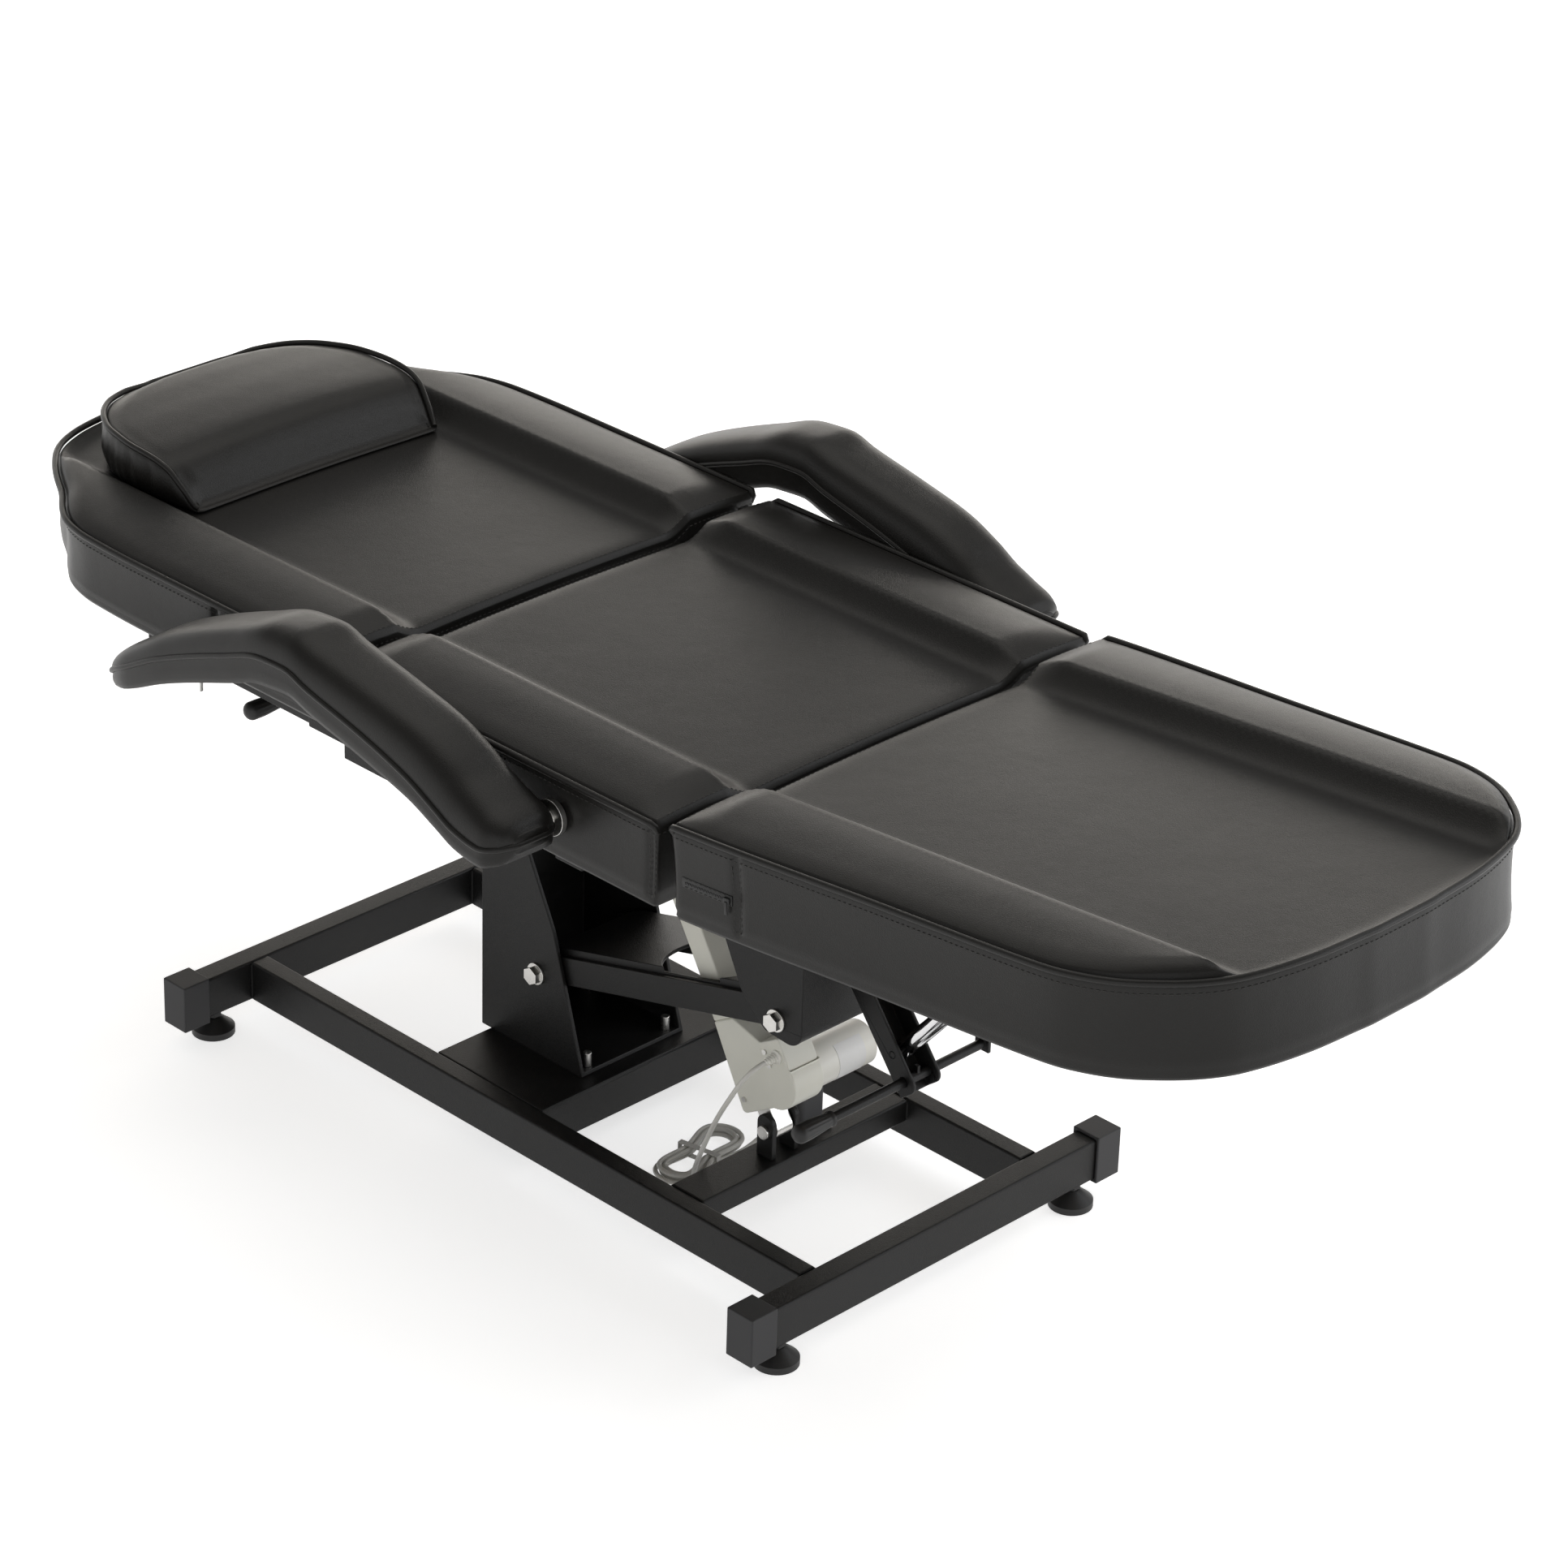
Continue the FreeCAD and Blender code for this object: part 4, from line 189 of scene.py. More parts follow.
def zinc():
    made = Material("brightZinc", **{"Metallic": 1.0})
    scuff = made.noise(60, 5)
    made.set("Base Color", made.blend(scuff, (0.62, 0.61, 0.58), (0.78, 0.77, 0.75)))
    made.set("Roughness", scuff * 0.2 + 0.2)
    made.set("Normal", made.bump(made.noise(700, 3), 0.1, 0.0003))
    return made.data


def chrome():
    made = Material("polishedChrome", **{"Metallic": 1.0, "Base Color": (0.82, 0.82, 0.83)})
    made.set("Roughness", made.noise(35, 3) * 0.07 + 0.06)
    return made.data


def castGrey(name, low, high, rough=0.42):
    made = Material(name, **{"Specular IOR Level": 0.45})
    haze = made.noise(26, 4)
    made.set("Base Color", made.blend(haze, low, high))
    made.set("Roughness", haze * 0.12 + rough - 0.06)
    made.set("Normal", made.bump(made.noise(850, 2), 0.16, 0.0004))
    return made.data


def moulded(name, low, high, rough=0.55):
    made = Material(name, **{"Specular IOR Level": 0.45})
    cloud = made.noise(18, 3)
    made.set("Base Color", made.blend(cloud, low, high))
    made.set("Roughness", cloud * 0.12 + rough - 0.05)
    made.set("Normal", made.bump(made.noise(1300, 3), 0.22, 0.0003))
    return made.data


def plywood():
    made = Material("plywood", **{"Specular IOR Level": 0.3, "Roughness": 0.72})
    grainLine = made.noise(22, 6, 0.6, made.place((1, 0.08, 6)))
    made.set("Base Color", made.blend(made.ramp(grainLine, 0.35, 0.65), (0.36, 0.25, 0.14),
                                      (0.52, 0.39, 0.24)))
    made.set("Normal", made.bump(grainLine, 0.2, 0.001))
    return made.data


# soft forms: a closed outline gets a rolled top, a drawn-in wall and a hem
def spread(points, spacing, passes=0, closed=True):
    ring = points + points[:1] if closed else points
    lengths = [0.0]
    for a, b in zip(ring, ring[1:]):
        lengths.append(lengths[-1] + (b - a).length)
    count = max(8, round(lengths[-1] / spacing))
    found, spot = [], 0
    for number in range(count if closed else count + 1):
        want = lengths[-1] * number / count
        while spot < len(lengths) - 2 and lengths[spot + 1] < want:
            spot += 1
        span = max(lengths[spot + 1] - lengths[spot], 1e-9)
        found.append(ring[spot].lerp(ring[spot + 1], (want - lengths[spot]) / span))
    for _ in range(passes):
        count = len(found)
        found = [(found[n - 1] + found[n] * 2 + found[(n + 1) % count]) / 4 for n in range(count)]
    return found


def easedShares(table, along):
    rows = sorted(table)
    number = max(index for index in range(len(rows) - 1) if rows[index][0] <= along + 1e-9)
    low, high = rows[number], rows[number + 1]
    wide = high[0] - low[0]
    share = (along - low[0]) / wide
    found = []
    for column in range(1, len(low)):
        def slope(index):
            if index in (0, len(rows) - 1):
                return 0.0
            before = (rows[index][column] - rows[index - 1][column]) / (rows[index][0] - rows[index - 1][0])
            after = (rows[index + 1][column] - rows[index][column]) / (rows[index + 1][0] - rows[index][0])
            return 0.0 if before * after <= 0 else 2 * before * after / (before + after)
        first, last = slope(number) * wide, slope(number + 1) * wide
        found.append((2 * share ** 3 - 3 * share ** 2 + 1) * low[column]
                     + (share ** 3 - 2 * share ** 2 + share) * first
                     + (3 * share ** 2 - 2 * share ** 3) * high[column] + (share ** 3 - share ** 2) * last)
    return found


def insets(ring, depth):
    count = len(ring)
    found = []
    for n, point in enumerate(ring):
        way = (ring[(n + 1) % count] - ring[n - 1]).normalized()
        found.append(point + Vector((-way.y, way.x)) * depth)
    return found


def smooth(value, low, high):
    share = min(1, max(0, (value - low) / (high - low)))
    return share * share * (3 - 2 * share)


def meshPiece(name, points, faces, material, body):
    data = bpy.data.meshes.new(name)
    data.from_pydata([tuple(point) for point in points], [], faces)
    piece = bpy.data.objects.new(name, data)
    bpy.context.scene.collection.objects.link(piece)
    data.materials.append(material)
    bpy.ops.object.select_all(action="DESELECT")
    piece.select_set(True)
    bpy.context.view_layer.objects.active = piece
    bpy.ops.object.mode_set(mode="EDIT")
    bpy.ops.mesh.select_all(action="SELECT")
    bpy.ops.mesh.normals_make_consistent(inside=False)
    bpy.ops.object.mode_set(mode="OBJECT")
    bpy.ops.object.shade_smooth()
    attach(piece, body)
    return piece


def stackRings(rings, capHigh=True):
    size = len(rings[0])
    points = [point for ring in rings for point in ring]
    faces = []
    for level in range(len(rings) - 1):
        for n in range(size):
            m = (n + 1) % size
            faces.append((level * size + n, level * size + m, (level + 1) * size + m,
                          (level + 1) * size + n))
    faces.append(tuple(reversed(range(size))))
    if capHigh:
        faces.append(tuple(range((len(rings) - 1) * size, len(rings) * size)))
    return points, faces


def meshTop(points, faces, size, pitch, height):  # an even net inside the last ring, then its triangles
    first = len(points) - size
    ring = [Vector((p.x, p.y)) for p in points[first:]]
    wide = max(p.x for p in ring)
    low, high = min(p.y for p in ring), max(p.y for p in ring)
    columns, rows = round(2 * wide / pitch), round((high - low) / pitch)
    net = []
    for row in range(1, rows):
        y = low + (high - low) * row / rows
        cuts = []
        for a, b in zip(ring, ring[1:] + ring[:1]):
            if (a.y - y) * (b.y - y) < 0:
                cuts.append(a.x + (b.x - a.x) * (y - a.y) / (b.y - a.y))
        if len(cuts) < 2:
            continue
        left, right = min(cuts) + pitch * 0.6, max(cuts) - pitch * 0.6
        for column in range(-columns // 2, columns // 2 + 1):
            x = (column + 0.5 * (row % 2)) * pitch
            if left < x < right:
                net.append(Vector((x, y)))
    edges = [(n, (n + 1) % size) for n in range(size)]
    flat, _, triangles, origin, _, _ = geometry.delaunay_2d_cdt(ring + net, edges, [], 1, 1e-7)
    where = []
    for place, sources in zip(flat, origin):
        known = [source for source in sources if source < size]
        if known:
            where.append(first + known[0])
        else:
            where.append(len(points))
            points.append(Vector((place.x, place.y, height(place.x, place.y))))
    faces.extend(tuple(where[n] for n in triangle) for triangle in triangles)


bed = {"half": 0.320, "bolster": 0.104, "crown": 0.0125, "trough": 0.0115, "drop": 0.036,
       "pipe": 0.0038, "draw": 0.0035, "hemUp": 0.010, "boardIn": 0.028, "boardThick": 0.0153,
       "hemLine": [(0.009, 0), (0.0048, 0.0016), (0.0028, 0.0055), (0.0036, 0.010)],  # inset, height
       "wallShares": (0.14, 0.22, 0.34, 0.48, 0.62, 0.75, 0.86, 0.93),
       "rimLine": [(0.0022, 0.0035), (0.0052, 0.0008)], "topInsets": (0.0065, 0.0085),
       "groove": 0.0032, "grooveSide": 0.0006, "ripple": 0.0006, "shoulder": 0.088, "belly": 0.003,
       "bellyHalf": 0.18, "endRamp": 0.045, "rimRamp": (0.004, 0.05), "roll": 0.022, "rollFrom": 0.004,
       "rollUp": 0.0035, "boardGap": 0.0285, "tuck": (0.006, 0.010), "seamIn": 0.0075}
pads = {
    "seat": {"body": "seat", "start": -0.240, "long": 0.486, "rim": 0.623, "hem": 0.528, "tip": None,
             "lean": 0, "at": (0, 0, 0), "seams": [(-0.32, -0.232), (0.32, -0.232)],
             "nodes": ("seat_cushion", "seat_board")},
    "back": {"body": "back", "start": 0.265, "long": 0.660, "rim": 0.622, "hem": 0.540, "lean": 0,
             "at": (0, 0, 0), "seams": [(-0.32, 0.446), (0.32, 0.446)],
             "nodes": ("back_cushion", "back_board"),
             "tip": [(0, 1), (0.06, 1), (0.47, 1), (0.61, 0.99), (0.68, 0.96), (0.727, 0.906),
                     (0.777, 0.828), (0.833, 0.76), (0.883, 0.69), (0.936, 0.59), (0.967, 0.48),
                     (0.984, 0.36), (0.994, 0.235), (1, 0.11)]},
    "leg": {"body": "leg_rest", "start": 0, "long": -0.66514, "rim": 0.103, "hem": 0, "lean": -4.6,
            "at": (0, -0.262, 0.528), "seams": [(-0.32, -0.092), (0.32, -0.092)],
            "nodes": ("leg_cushion", "leg_board"),
            "tip": [(0, 1), (0.06, 1), (0.425, 0.978), (0.666, 0.966), (0.741, 0.956), (0.786, 0.934),
                    (0.839, 0.888), (0.884, 0.82), (0.922, 0.744), (0.959, 0.625), (0.977, 0.5),
                    (0.991, 0.344), (1, 0.14)]},
}


def padOutline(pad):
    half, start, long = bed["half"], pad["start"], pad["long"]
    if pad["tip"] is None:
        corners = [(half, start), (half, start + long), (-half, start + long), (-half, start)]
    else:
        steps = [n / 120 for n in range(116)] + [0.967 + 0.033 * math.sin(math.pi / 2 * n / 12)
                                                  for n in range(1, 13)]
        side = [(half * easedShares(pad["tip"], step)[0], start + long * step) for step in steps]
        corners = side + [(-x, y) for x, y in reversed(side)]
        if long < 0:
            corners.reverse()
    return spread([Vector(corner) for corner in corners], 0.0052, 3)


def endDepth(pad, y):  # how far inside the nearer straight end
    rootIn = abs(y - pad["start"])
    return min(rootIn, abs(pad["long"]) - rootIn if pad["tip"] is None else 1.0)


def padHeight(pad, x, y):  # over the rim plane: bolsters along the sides, a trough between
    inside = bed["half"] - abs(x)
    rise = math.sin(math.pi / 2 * min(1, max(0, inside) / bed["shoulder"])) * bed["crown"]
    rise *= 0.25 + 0.75 * smooth(endDepth(pad, y), 0, bed["endRamp"])
    share = min(1, max(0, (inside - bed["bolster"]) / bed["drop"]))
    drop = 0.35 * smooth(share, 0, 1) + 0.65 * (1 - (1 - share) ** 2.2) * smooth(share, -0.05, 0.14)
    low = -bed["trough"] + bed["belly"] * max(0, 1 - (x / bed["bellyHalf"]) ** 2)
    return rise * (1 - drop) + low * drop


def padRim(pad, x, y):
    return padHeight(pad, x, y) * (1 - smooth(endDepth(pad, y), *bed["rimRamp"]))


def rollIn(depth):
    return math.sqrt(max(0, 1 - (1 - min(1, depth / bed["roll"])) ** 2))


def rimFinder(outline):  # the nearest point of an outline, and how far off it is
    fine = spread(outline, 0.0012)
    tree = kdtree.KDTree(len(fine))
    for number, point in enumerate(fine):
        tree.insert((point.x, point.y, 0), number)
    tree.balance()

    def find(x, y):
        spot, _, depth = tree.find((x, y, 0))
        return spot, depth
    return find


def padSurface(pad, find):
    def height(x, y):
        spot, depth = find(x, y)
        low = padRim(pad, spot.x, spot.y)
        roll = rollIn(max(0, depth - bed["rollFrom"]))
        return pad["rim"] + low + (padHeight(pad, x, y) - low + bed["rollUp"]) * roll
    return height


def padRings(pad, outline):
    rim, hem = pad["rim"], pad["hem"]
    rings = []
    random.seed(7)
    ripple = [random.uniform(-1, 1) for _ in range(14)]

    def nearest(spot):
        return min(range(len(outline)), key=lambda n: (outline[n] - Vector(spot)).length)
    grooves = {nearest(spot) for spot in pad["seams"]}

    def groove(n):
        return bed["groove"] if n in grooves else bed["grooveSide"] if {n - 1, n + 1} & grooves else 0

    def wave(n):
        share = n / len(outline) * len(ripple)
        first = int(share)
        low, high = ripple[first % len(ripple)], ripple[(first + 1) % len(ripple)]
        return low * (1 - share + first) + high * (share - first)

    for depth, up in [(bed["boardIn"], bed["boardThick"]), (bed["boardIn"], 0)] + bed["hemLine"]:
        rings.append([Vector((p.x, p.y, hem + up)) for p in insets(outline, depth)])
    for share in bed["wallShares"]:
        swell = math.sin(math.pi * share)
        level = []
        for n, p in enumerate(insets(outline, 0.0012 + bed["draw"] * swell * 0.8)):
            top = rim + padRim(pad, outline[n].x, outline[n].y)
            way = (outline[(n + 1) % len(outline)] - outline[n - 1]).normalized()
            depth = wave(n) * bed["ripple"] * swell + groove(n)
            level.append(Vector((p.x - way.y * depth, p.y + way.x * depth, hem + (top - hem) * share)))
        rings.append(level)
    for depth, down in bed["rimLine"]:
        rings.append([Vector((p.x, p.y, rim + padRim(pad, o.x, o.y) - down))
                      for p, o in zip(insets(outline, depth), outline)])
    height = padSurface(pad, rimFinder(outline))
    for depth in bed["topInsets"]:
        rings.append([Vector((p.x, p.y, height(p.x, p.y))) for p in insets(outline, depth)])
    return rings, height


def runsOf(plain):  # the runs of a ring where it isn't plain, in order
    count = len(plain)
    start = next(n for n in range(count) if plain[n - 1] and not plain[n])
    runs = []
    for step in range(count):
        n = (start + step) % count
        if plain[n]:
            continue
        if step == 0 or plain[n - 1]:
            runs.append([n])
        else:
            runs[-1].append(n)
    return runs


def makePad(name, pad):
    outline = padOutline(pad)
    lean = Matrix.Rotation(math.radians(pad["lean"]), 4, "X")
    put = Matrix.Translation(pad["at"]) @ lean
    rings, height = padRings(pad, outline)
    points, faces = stackRings(rings, capHigh=False)
    meshTop(points, faces, len(outline), 0.006, height)
    cover = meshPiece(name + "PadCover", [put @ p for p in points], faces, looks["leather"],
                      pad["body"])
    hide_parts(pad["nodes"][0])
    rimLine = [put @ Vector((p.x, p.y, pad["rim"] + padRim(pad, p.x, p.y) + 0.0006))
               for p in insets(outline, -0.0004)]
    ends = [pad["start"]] + ([pad["start"] + pad["long"]] if pad["tip"] is None else [])
    plain = [any(abs(p.y - end) < 0.004 for end in ends) for p in outline]
    for number, run in enumerate(runsOf(plain)):
        line = [rimLine[n] for n in run]
        aside, down = bed["tuck"]
        tucks = [put.to_3x3() @ Vector((-math.copysign(aside, p.x), 0, -down)) for p in (line[0], line[-1])]
        line = [line[0] + tucks[0], line[0] + tucks[0] * 0.35] + line[1:-1] + [
            line[-1] + tucks[1] * 0.35, line[-1] + tucks[1]]
        piping(f"{name}Piping{number}", line, bed["pipe"], pad["body"], closed=False)
    for number, end in enumerate(ends):
        inward = math.copysign(bed["seamIn"], pad["start"] + pad["long"] / 2 - end)
        across = [(bed["half"] - 0.022) * (n / 60 - 1) for n in range(121)]
        seam = [put @ Vector((x, end + inward, height(x, end + inward) + 0.0002)) for x in across]
        stitches(f"{name}EndStitch{number}", seam, pad["body"], closed=False)
    board = [[put @ Vector((p.x, p.y, pad["hem"] + z)) for p in insets(outline, bed["boardGap"] + d)]
             for d, z in ((0.001, 0.0002), (0, 0.0012), (0, bed["boardThick"] - 0.0005))]
    points, faces = stackRings(board)
    panel = meshPiece(name + "Board", points, faces, looks["wood"], pad["body"])
    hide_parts(pad["nodes"][1])
    return put, outline


def piping(name, line, radius, body, closed=True):
    data = bpy.data.curves.new(name, "CURVE")
    data.dimensions = "3D"
    spline = data.splines.new("POLY")
    spline.points.add(len(line) - 1)
    for point, place in zip(spline.points, line):
        point.co = (*place, 1)
    spline.use_cyclic_u = closed
    data.bevel_depth = radius
    data.bevel_resolution = 3
    data.use_fill_caps = not closed
    data.materials.append(looks["leather"])
    piece = bpy.data.objects.new(name, data)
    bpy.context.scene.collection.objects.link(piece)
    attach(piece, body)


sewing = {"long": 0.0042, "gap": 0.0026, "radius": 0.00042,
          "body": ((0, 0.35), (0.25, 1), (0.75, 1), (1, 0.35))}


def stitches(name, line, body, closed=True):  # laid end to end
    steps = spread(line, sewing["long"] + sewing["gap"], 0, closed)
    points, faces = [], []
    for a, b in zip(steps, steps[1:] + (steps[:1] if closed else [])):
        way = b - a
        if way.length < 1e-6:
            continue
        way.normalize()
        side = way.cross(Vector((0, 0, 1))).normalized()
        up = side.cross(way)
        first = len(points)
        for share, size in sewing["body"]:
            centre = a + way * sewing["long"] * share
            for n in range(6):
                angle = math.pi / 3 * n
                out = side * math.cos(angle) + up * math.sin(angle)
                points.append(centre + out * sewing["radius"] * size)
        for level in range(3):
            for n in range(6):
                m = (n + 1) % 6
                faces.append((first + level * 6 + n, first + level * 6 + m,
                              first + (level + 1) * 6 + m, first + (level + 1) * 6 + n))
        faces.append(tuple(first + n for n in reversed(range(6))))
        faces.append(tuple(first + 18 + n for n in range(6)))
    meshPiece(name, points, faces, looks["thread"], body)


def wallLine(pad, spot, side):  # up the wall beside a seam
    x, y = spot
    half = bed["half"] if pad["tip"] is None else bed["half"] * easedShares(
        pad["tip"], (y - pad["start"]) / pad["long"])[0]
    inside = math.copysign(half - 0.0016, x)
    steps = [n / 14 for n in range(15)]
    return [Vector((inside - math.copysign(bed["draw"] * 0.8 * math.sin(math.pi * (0.12 + 0.8 * step)), x),
                    y + side * 0.0042, pad["hem"] + 0.014 + (pad["rim"] - pad["hem"] - 0.030) * step))
            for step in steps]


def makePads():
    for name, pad in pads.items():
        put, outline = makePad(name, pad)
        under = [put @ Vector((p.x, p.y, pad["hem"] + bed["hemUp"] + 0.004)) for p in insets(outline, 0.0034)]
        stitches(name + "HemStitch", under, pad["body"])
        over = [put @ Vector((p.x, p.y, pad["rim"] + padRim(pad, o.x, o.y) - 0.0115))
                for p, o in zip(insets(outline, 0.0017), outline)]
        stitches(name + "RimStitch", over, pad["body"])
        for number, spot in enumerate(pad["seams"]):
            for side in (-1, 1):
                line = [put @ p for p in wallLine(pad, spot, side)]
                stitches(f"{name}Seam{number}{'ab'[side > 0]}", line, pad["body"], closed=False)
    print("pads made")


def block(name, size, place, width, look, body, turn=None, segments=2):
    bpy.ops.object.select_all(action="DESELECT")
    bpy.ops.mesh.primitive_cube_add(size=1, location=(0, 0, 0))
    piece = bpy.context.object
    piece.name = name
    piece.data.transform(Matrix.Diagonal((*size, 1)))
    edge = piece.modifiers.new("edge", "BEVEL")
    edge.width, edge.segments = width, segments
    bpy.ops.object.modifier_apply(modifier="edge")
    piece.data.transform(Matrix.Translation(place) @ (turn or Matrix.Identity(4)))
    bpy.ops.object.shade_smooth_by_angle(angle=math.radians(40))
    piece.data.materials.append(looks[look])
    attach(piece, body)


zipper = {"from": 0.016, "long": 0.070, "up": 0.046, "tape": 0.011, "tooth": 0.0021}


def makeZip():  # the closed zip of the leg cover, on the near wall
    pad = pads["leg"]
    lean = Matrix.Rotation(math.radians(pad["lean"]), 4, "X")
    put = Matrix.Translation(pad["at"]) @ lean
    x = -bed["half"] + 0.0016 + bed["draw"] * 0.72
    middle = -zipper["from"] - zipper["long"] / 2
    block("legZipTape", (0.0016, zipper["long"], zipper["tape"]),
          put @ Vector((x - 0.0003, middle, zipper["up"])), 0.0006,
          "rubber", "leg_rest", lean)
    points, faces = [], []
    count = int(zipper["long"] / zipper["tooth"]) - 3
    for number in range(count):
        y = middle - zipper["long"] / 2 + (number + 2) * zipper["tooth"]
        lift = 0.0004 * (-1) ** number
        first = len(points)
        for dx, dy, dz in ((-1, -1, -1), (-1, 1, -1), (-1, 1, 1), (-1, -1, 1),
                           (1, -1, -1), (1, 1, -1), (1, 1, 1), (1, -1, 1)):
            shrink = 0.75 if dx < 0 else 1
            points.append(put @ Vector((x - 0.0011 + dx * 0.0005, y + dy * 0.00072 * shrink,
                                        zipper["up"] + lift + dz * 0.0013 * shrink)))
        for face in ((3, 2, 1, 0), (4, 5, 6, 7), (0, 1, 5, 4), (1, 2, 6, 5), (2, 3, 7, 6), (3, 0, 4, 7)):
            faces.append(tuple(first + n for n in face))
    teeth = meshPiece("legZipTeeth", points, faces, looks["rubber"], "leg_rest")
    teeth.data.shade_flat()
    end = middle - zipper["long"] / 2 + 0.006
    block("legZipSlider", (0.003, 0.008, 0.006), put @ Vector((x - 0.0022, end, zipper["up"])), 0.0009,
          "rubber", "leg_rest", lean, 3)
    block("legZipPull", (0.0012, 0.004, 0.014), put @ Vector((x - 0.0040, end, zipper["up"] - 0.008)), 0.0005,
          "rubber", "leg_rest", lean)
    for sign in (-1, 1):
        line = [put @ Vector((x - 0.0012, middle + (n / 10 - 0.5) * zipper["long"] * 0.97,
                              zipper["up"] + sign * 0.0044)) for n in range(11)]
        stitches(f"legZipStitch{'ab'[sign > 0]}", line, "leg_rest", closed=False)


pillow = {"front": 0.649, "long": 0.237, "half": 0.190, "high": 0.062, "base": 0.6145, "pipe": 0.0034,
          "shape": [(0, 0.926, 0.1), (0.08, 0.95, 0.44), (0.18, 0.98, 0.82), (0.27, 0.995, 0.93),
                    (0.38, 1, 0.97), (0.6, 0.96, 1), (0.76, 0.865, 1), (0.89, 0.71, 0.98),
                    (0.965, 0.5, 0.94), (1, 0.29, 0.86)],
          "hemLine": ((0.014, 0.0012), (0.006, 0)), "wallShares": (0.06, 0.2, 0.4, 0.6, 0.8, 0.93),
          "bulge": 0.005, "pucker": 0.0011, "topInsets": (0.006, 0.008), "rollTo": 0.024,
          "frontIn": 0.0035}


def pillowShare(y):
    along = min(1, max(0, (y - pillow["front"]) / pillow["long"]))
    return easedShares(pillow["shape"], along)


def pillowFloor(x, y):
    return pads["back"]["rim"] + padHeight(pads["back"], x, y) + 0.0042


def makePillow():
    side = []
    for number in range(90):
        along = 1 - (1 - number / 89) ** 1.6
        wide = easedShares(pillow["shape"], along)[0]
        side.append((pillow["half"] * wide, pillow["front"] + along * pillow["long"]))
    corners = side + [(-x, y) for x, y in reversed(side)]
    outline = spread([Vector(corner) for corner in corners], 0.0045, 2)

    def rimAt(p):
        high = pillowShare(p.y)[1] * pillow["high"] * 0.9
        return max(pillow["base"] + high, pillowFloor(p.x, p.y) + 0.004)
    rings = [[Vector((p.x, p.y, pillowFloor(p.x, p.y) + up)) for p in insets(outline, depth)]
             for depth, up in pillow["hemLine"]]
    for share in pillow["wallShares"]:
        level = []
        bulge = insets(outline, 0.0016 - pillow["bulge"] * math.sin(math.pi * share))
        for n, (p, o) in enumerate(zip(bulge, outline)):
            low, top = pillowFloor(o.x, o.y), rimAt(o)
            fold = math.sin(n * 0.71 + 1.3 * math.sin(n * 0.17)) + 0.6 * math.sin(n * 1.63 + share * 2)
            fade = math.sin(math.pi * min(1, share * 1.1)) * smooth(o.y, 0.645, 0.70)
            pucker = pillow["pucker"] * fold * fade
            way = (outline[(n + 1) % len(outline)] - outline[n - 1]).normalized()
            level.append(Vector((p.x + way.y * pucker, p.y - way.x * pucker, low + (top - low) * share)))
        rings.append(level)
    rings.append([Vector((p.x, p.y, rimAt(o) - 0.0012)) for p, o in zip(insets(outline, 0.004), outline)])
    find = rimFinder(outline)

    def height(x, y):
        spot, depth = find(x, y)
        low = rimAt(spot)
        return low + (pillowTop(Vector((x, y))) - low) * smooth(depth, 0.002, pillow["rollTo"])
    for depth in pillow["topInsets"]:
        rings.append([Vector((p.x, p.y, height(p.x, p.y))) for p in insets(outline, depth)])
    points, faces = stackRings(rings, capHigh=False)
    meshTop(points, faces, len(outline), 0.005, height)
    cover = meshPiece("pillowCover", points, faces, looks["leather"], "pillow")
    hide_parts("pillow")
    rimLine = [Vector((p.x, p.y, rimAt(p) + 0.0004)) for p in insets(outline, -0.0004)]
    front = pillow["front"] + pillow["frontIn"]
    start = max((n for n, p in enumerate(rimLine) if p.y < front), key=lambda n: rimLine[n].x)
    turned = rimLine[start:] + rimLine[:start]
    end = max(n for n, p in enumerate(turned) if p.y > front)
    piping("pillowPiping", turned[:end + 2], pillow["pipe"], "pillow", closed=False)
    seam = [p - Vector((0, 0.0010, 0.0030)) for p in turned[end + 2:] if abs(p.x) < pillow["half"] * 0.9]
    stitches("pillowFrontStitch", seam, "pillow", closed=False)
    print("pillow made")


def pillowTop(p):  # the slanted front runs up to a soft crease, and the top behind it is crowned
    high = pillowShare(p.y)[1] * pillow["high"]
    across = 1 - min(1, abs(p.x) / pillow["half"]) ** 2
    return pillow["base"] + high * 0.9 + high * 0.13 * across


armrest = {"in": 0.328, "wide": 0.093, "hub": (-0.092, 0.578), "front": 0.026, "long": 0.649,
           "rise": 0.090, "crown": 0.040, "band": 0.032, "pipe": 0.0032,
           "shape": [(0, 0.02, 0.5, 0.25, 0.3), (0.012, 0, 0.8, 0.5, 0.6), (0.045, -0.04, 1, 0.85, 0.75),
                     (0.1, 0.03, 1, 1.1, 0.8), (0.15, 0.2, 1, 1.18, 0.85), (0.21, 0.4, 1, 1.15, 0.9),
                     (0.32, 0.64, 1, 1, 1), (0.45, 0.86, 1, 0.9, 1), (0.5, 0.97, 1, 0.85, 1.05),
                     (0.56, 0.95, 1, 0.81, 1.1), (0.65, 0.74, 1, 0.77, 1.1), (0.83, 0.22, 1, 0.68, 1.02),
                     (0.915, -0.11, 0.95, 0.58, 0.92), (0.96, -0.28, 0.78, 0.45, 0.72),
                     (0.988, -0.42, 0.52, 0.35, 0.4), (1, -0.46, 0.22, 0.2, 0.25)],
           "wall": ((0.15, 0.0016), (0.45, 0.0006), (0.75, 0.0014), (0.92, 0.003)), "underIn": 0.006,
           "noseTo": 0.05, "tailFrom": 0.88, "pullAt": 0.80}


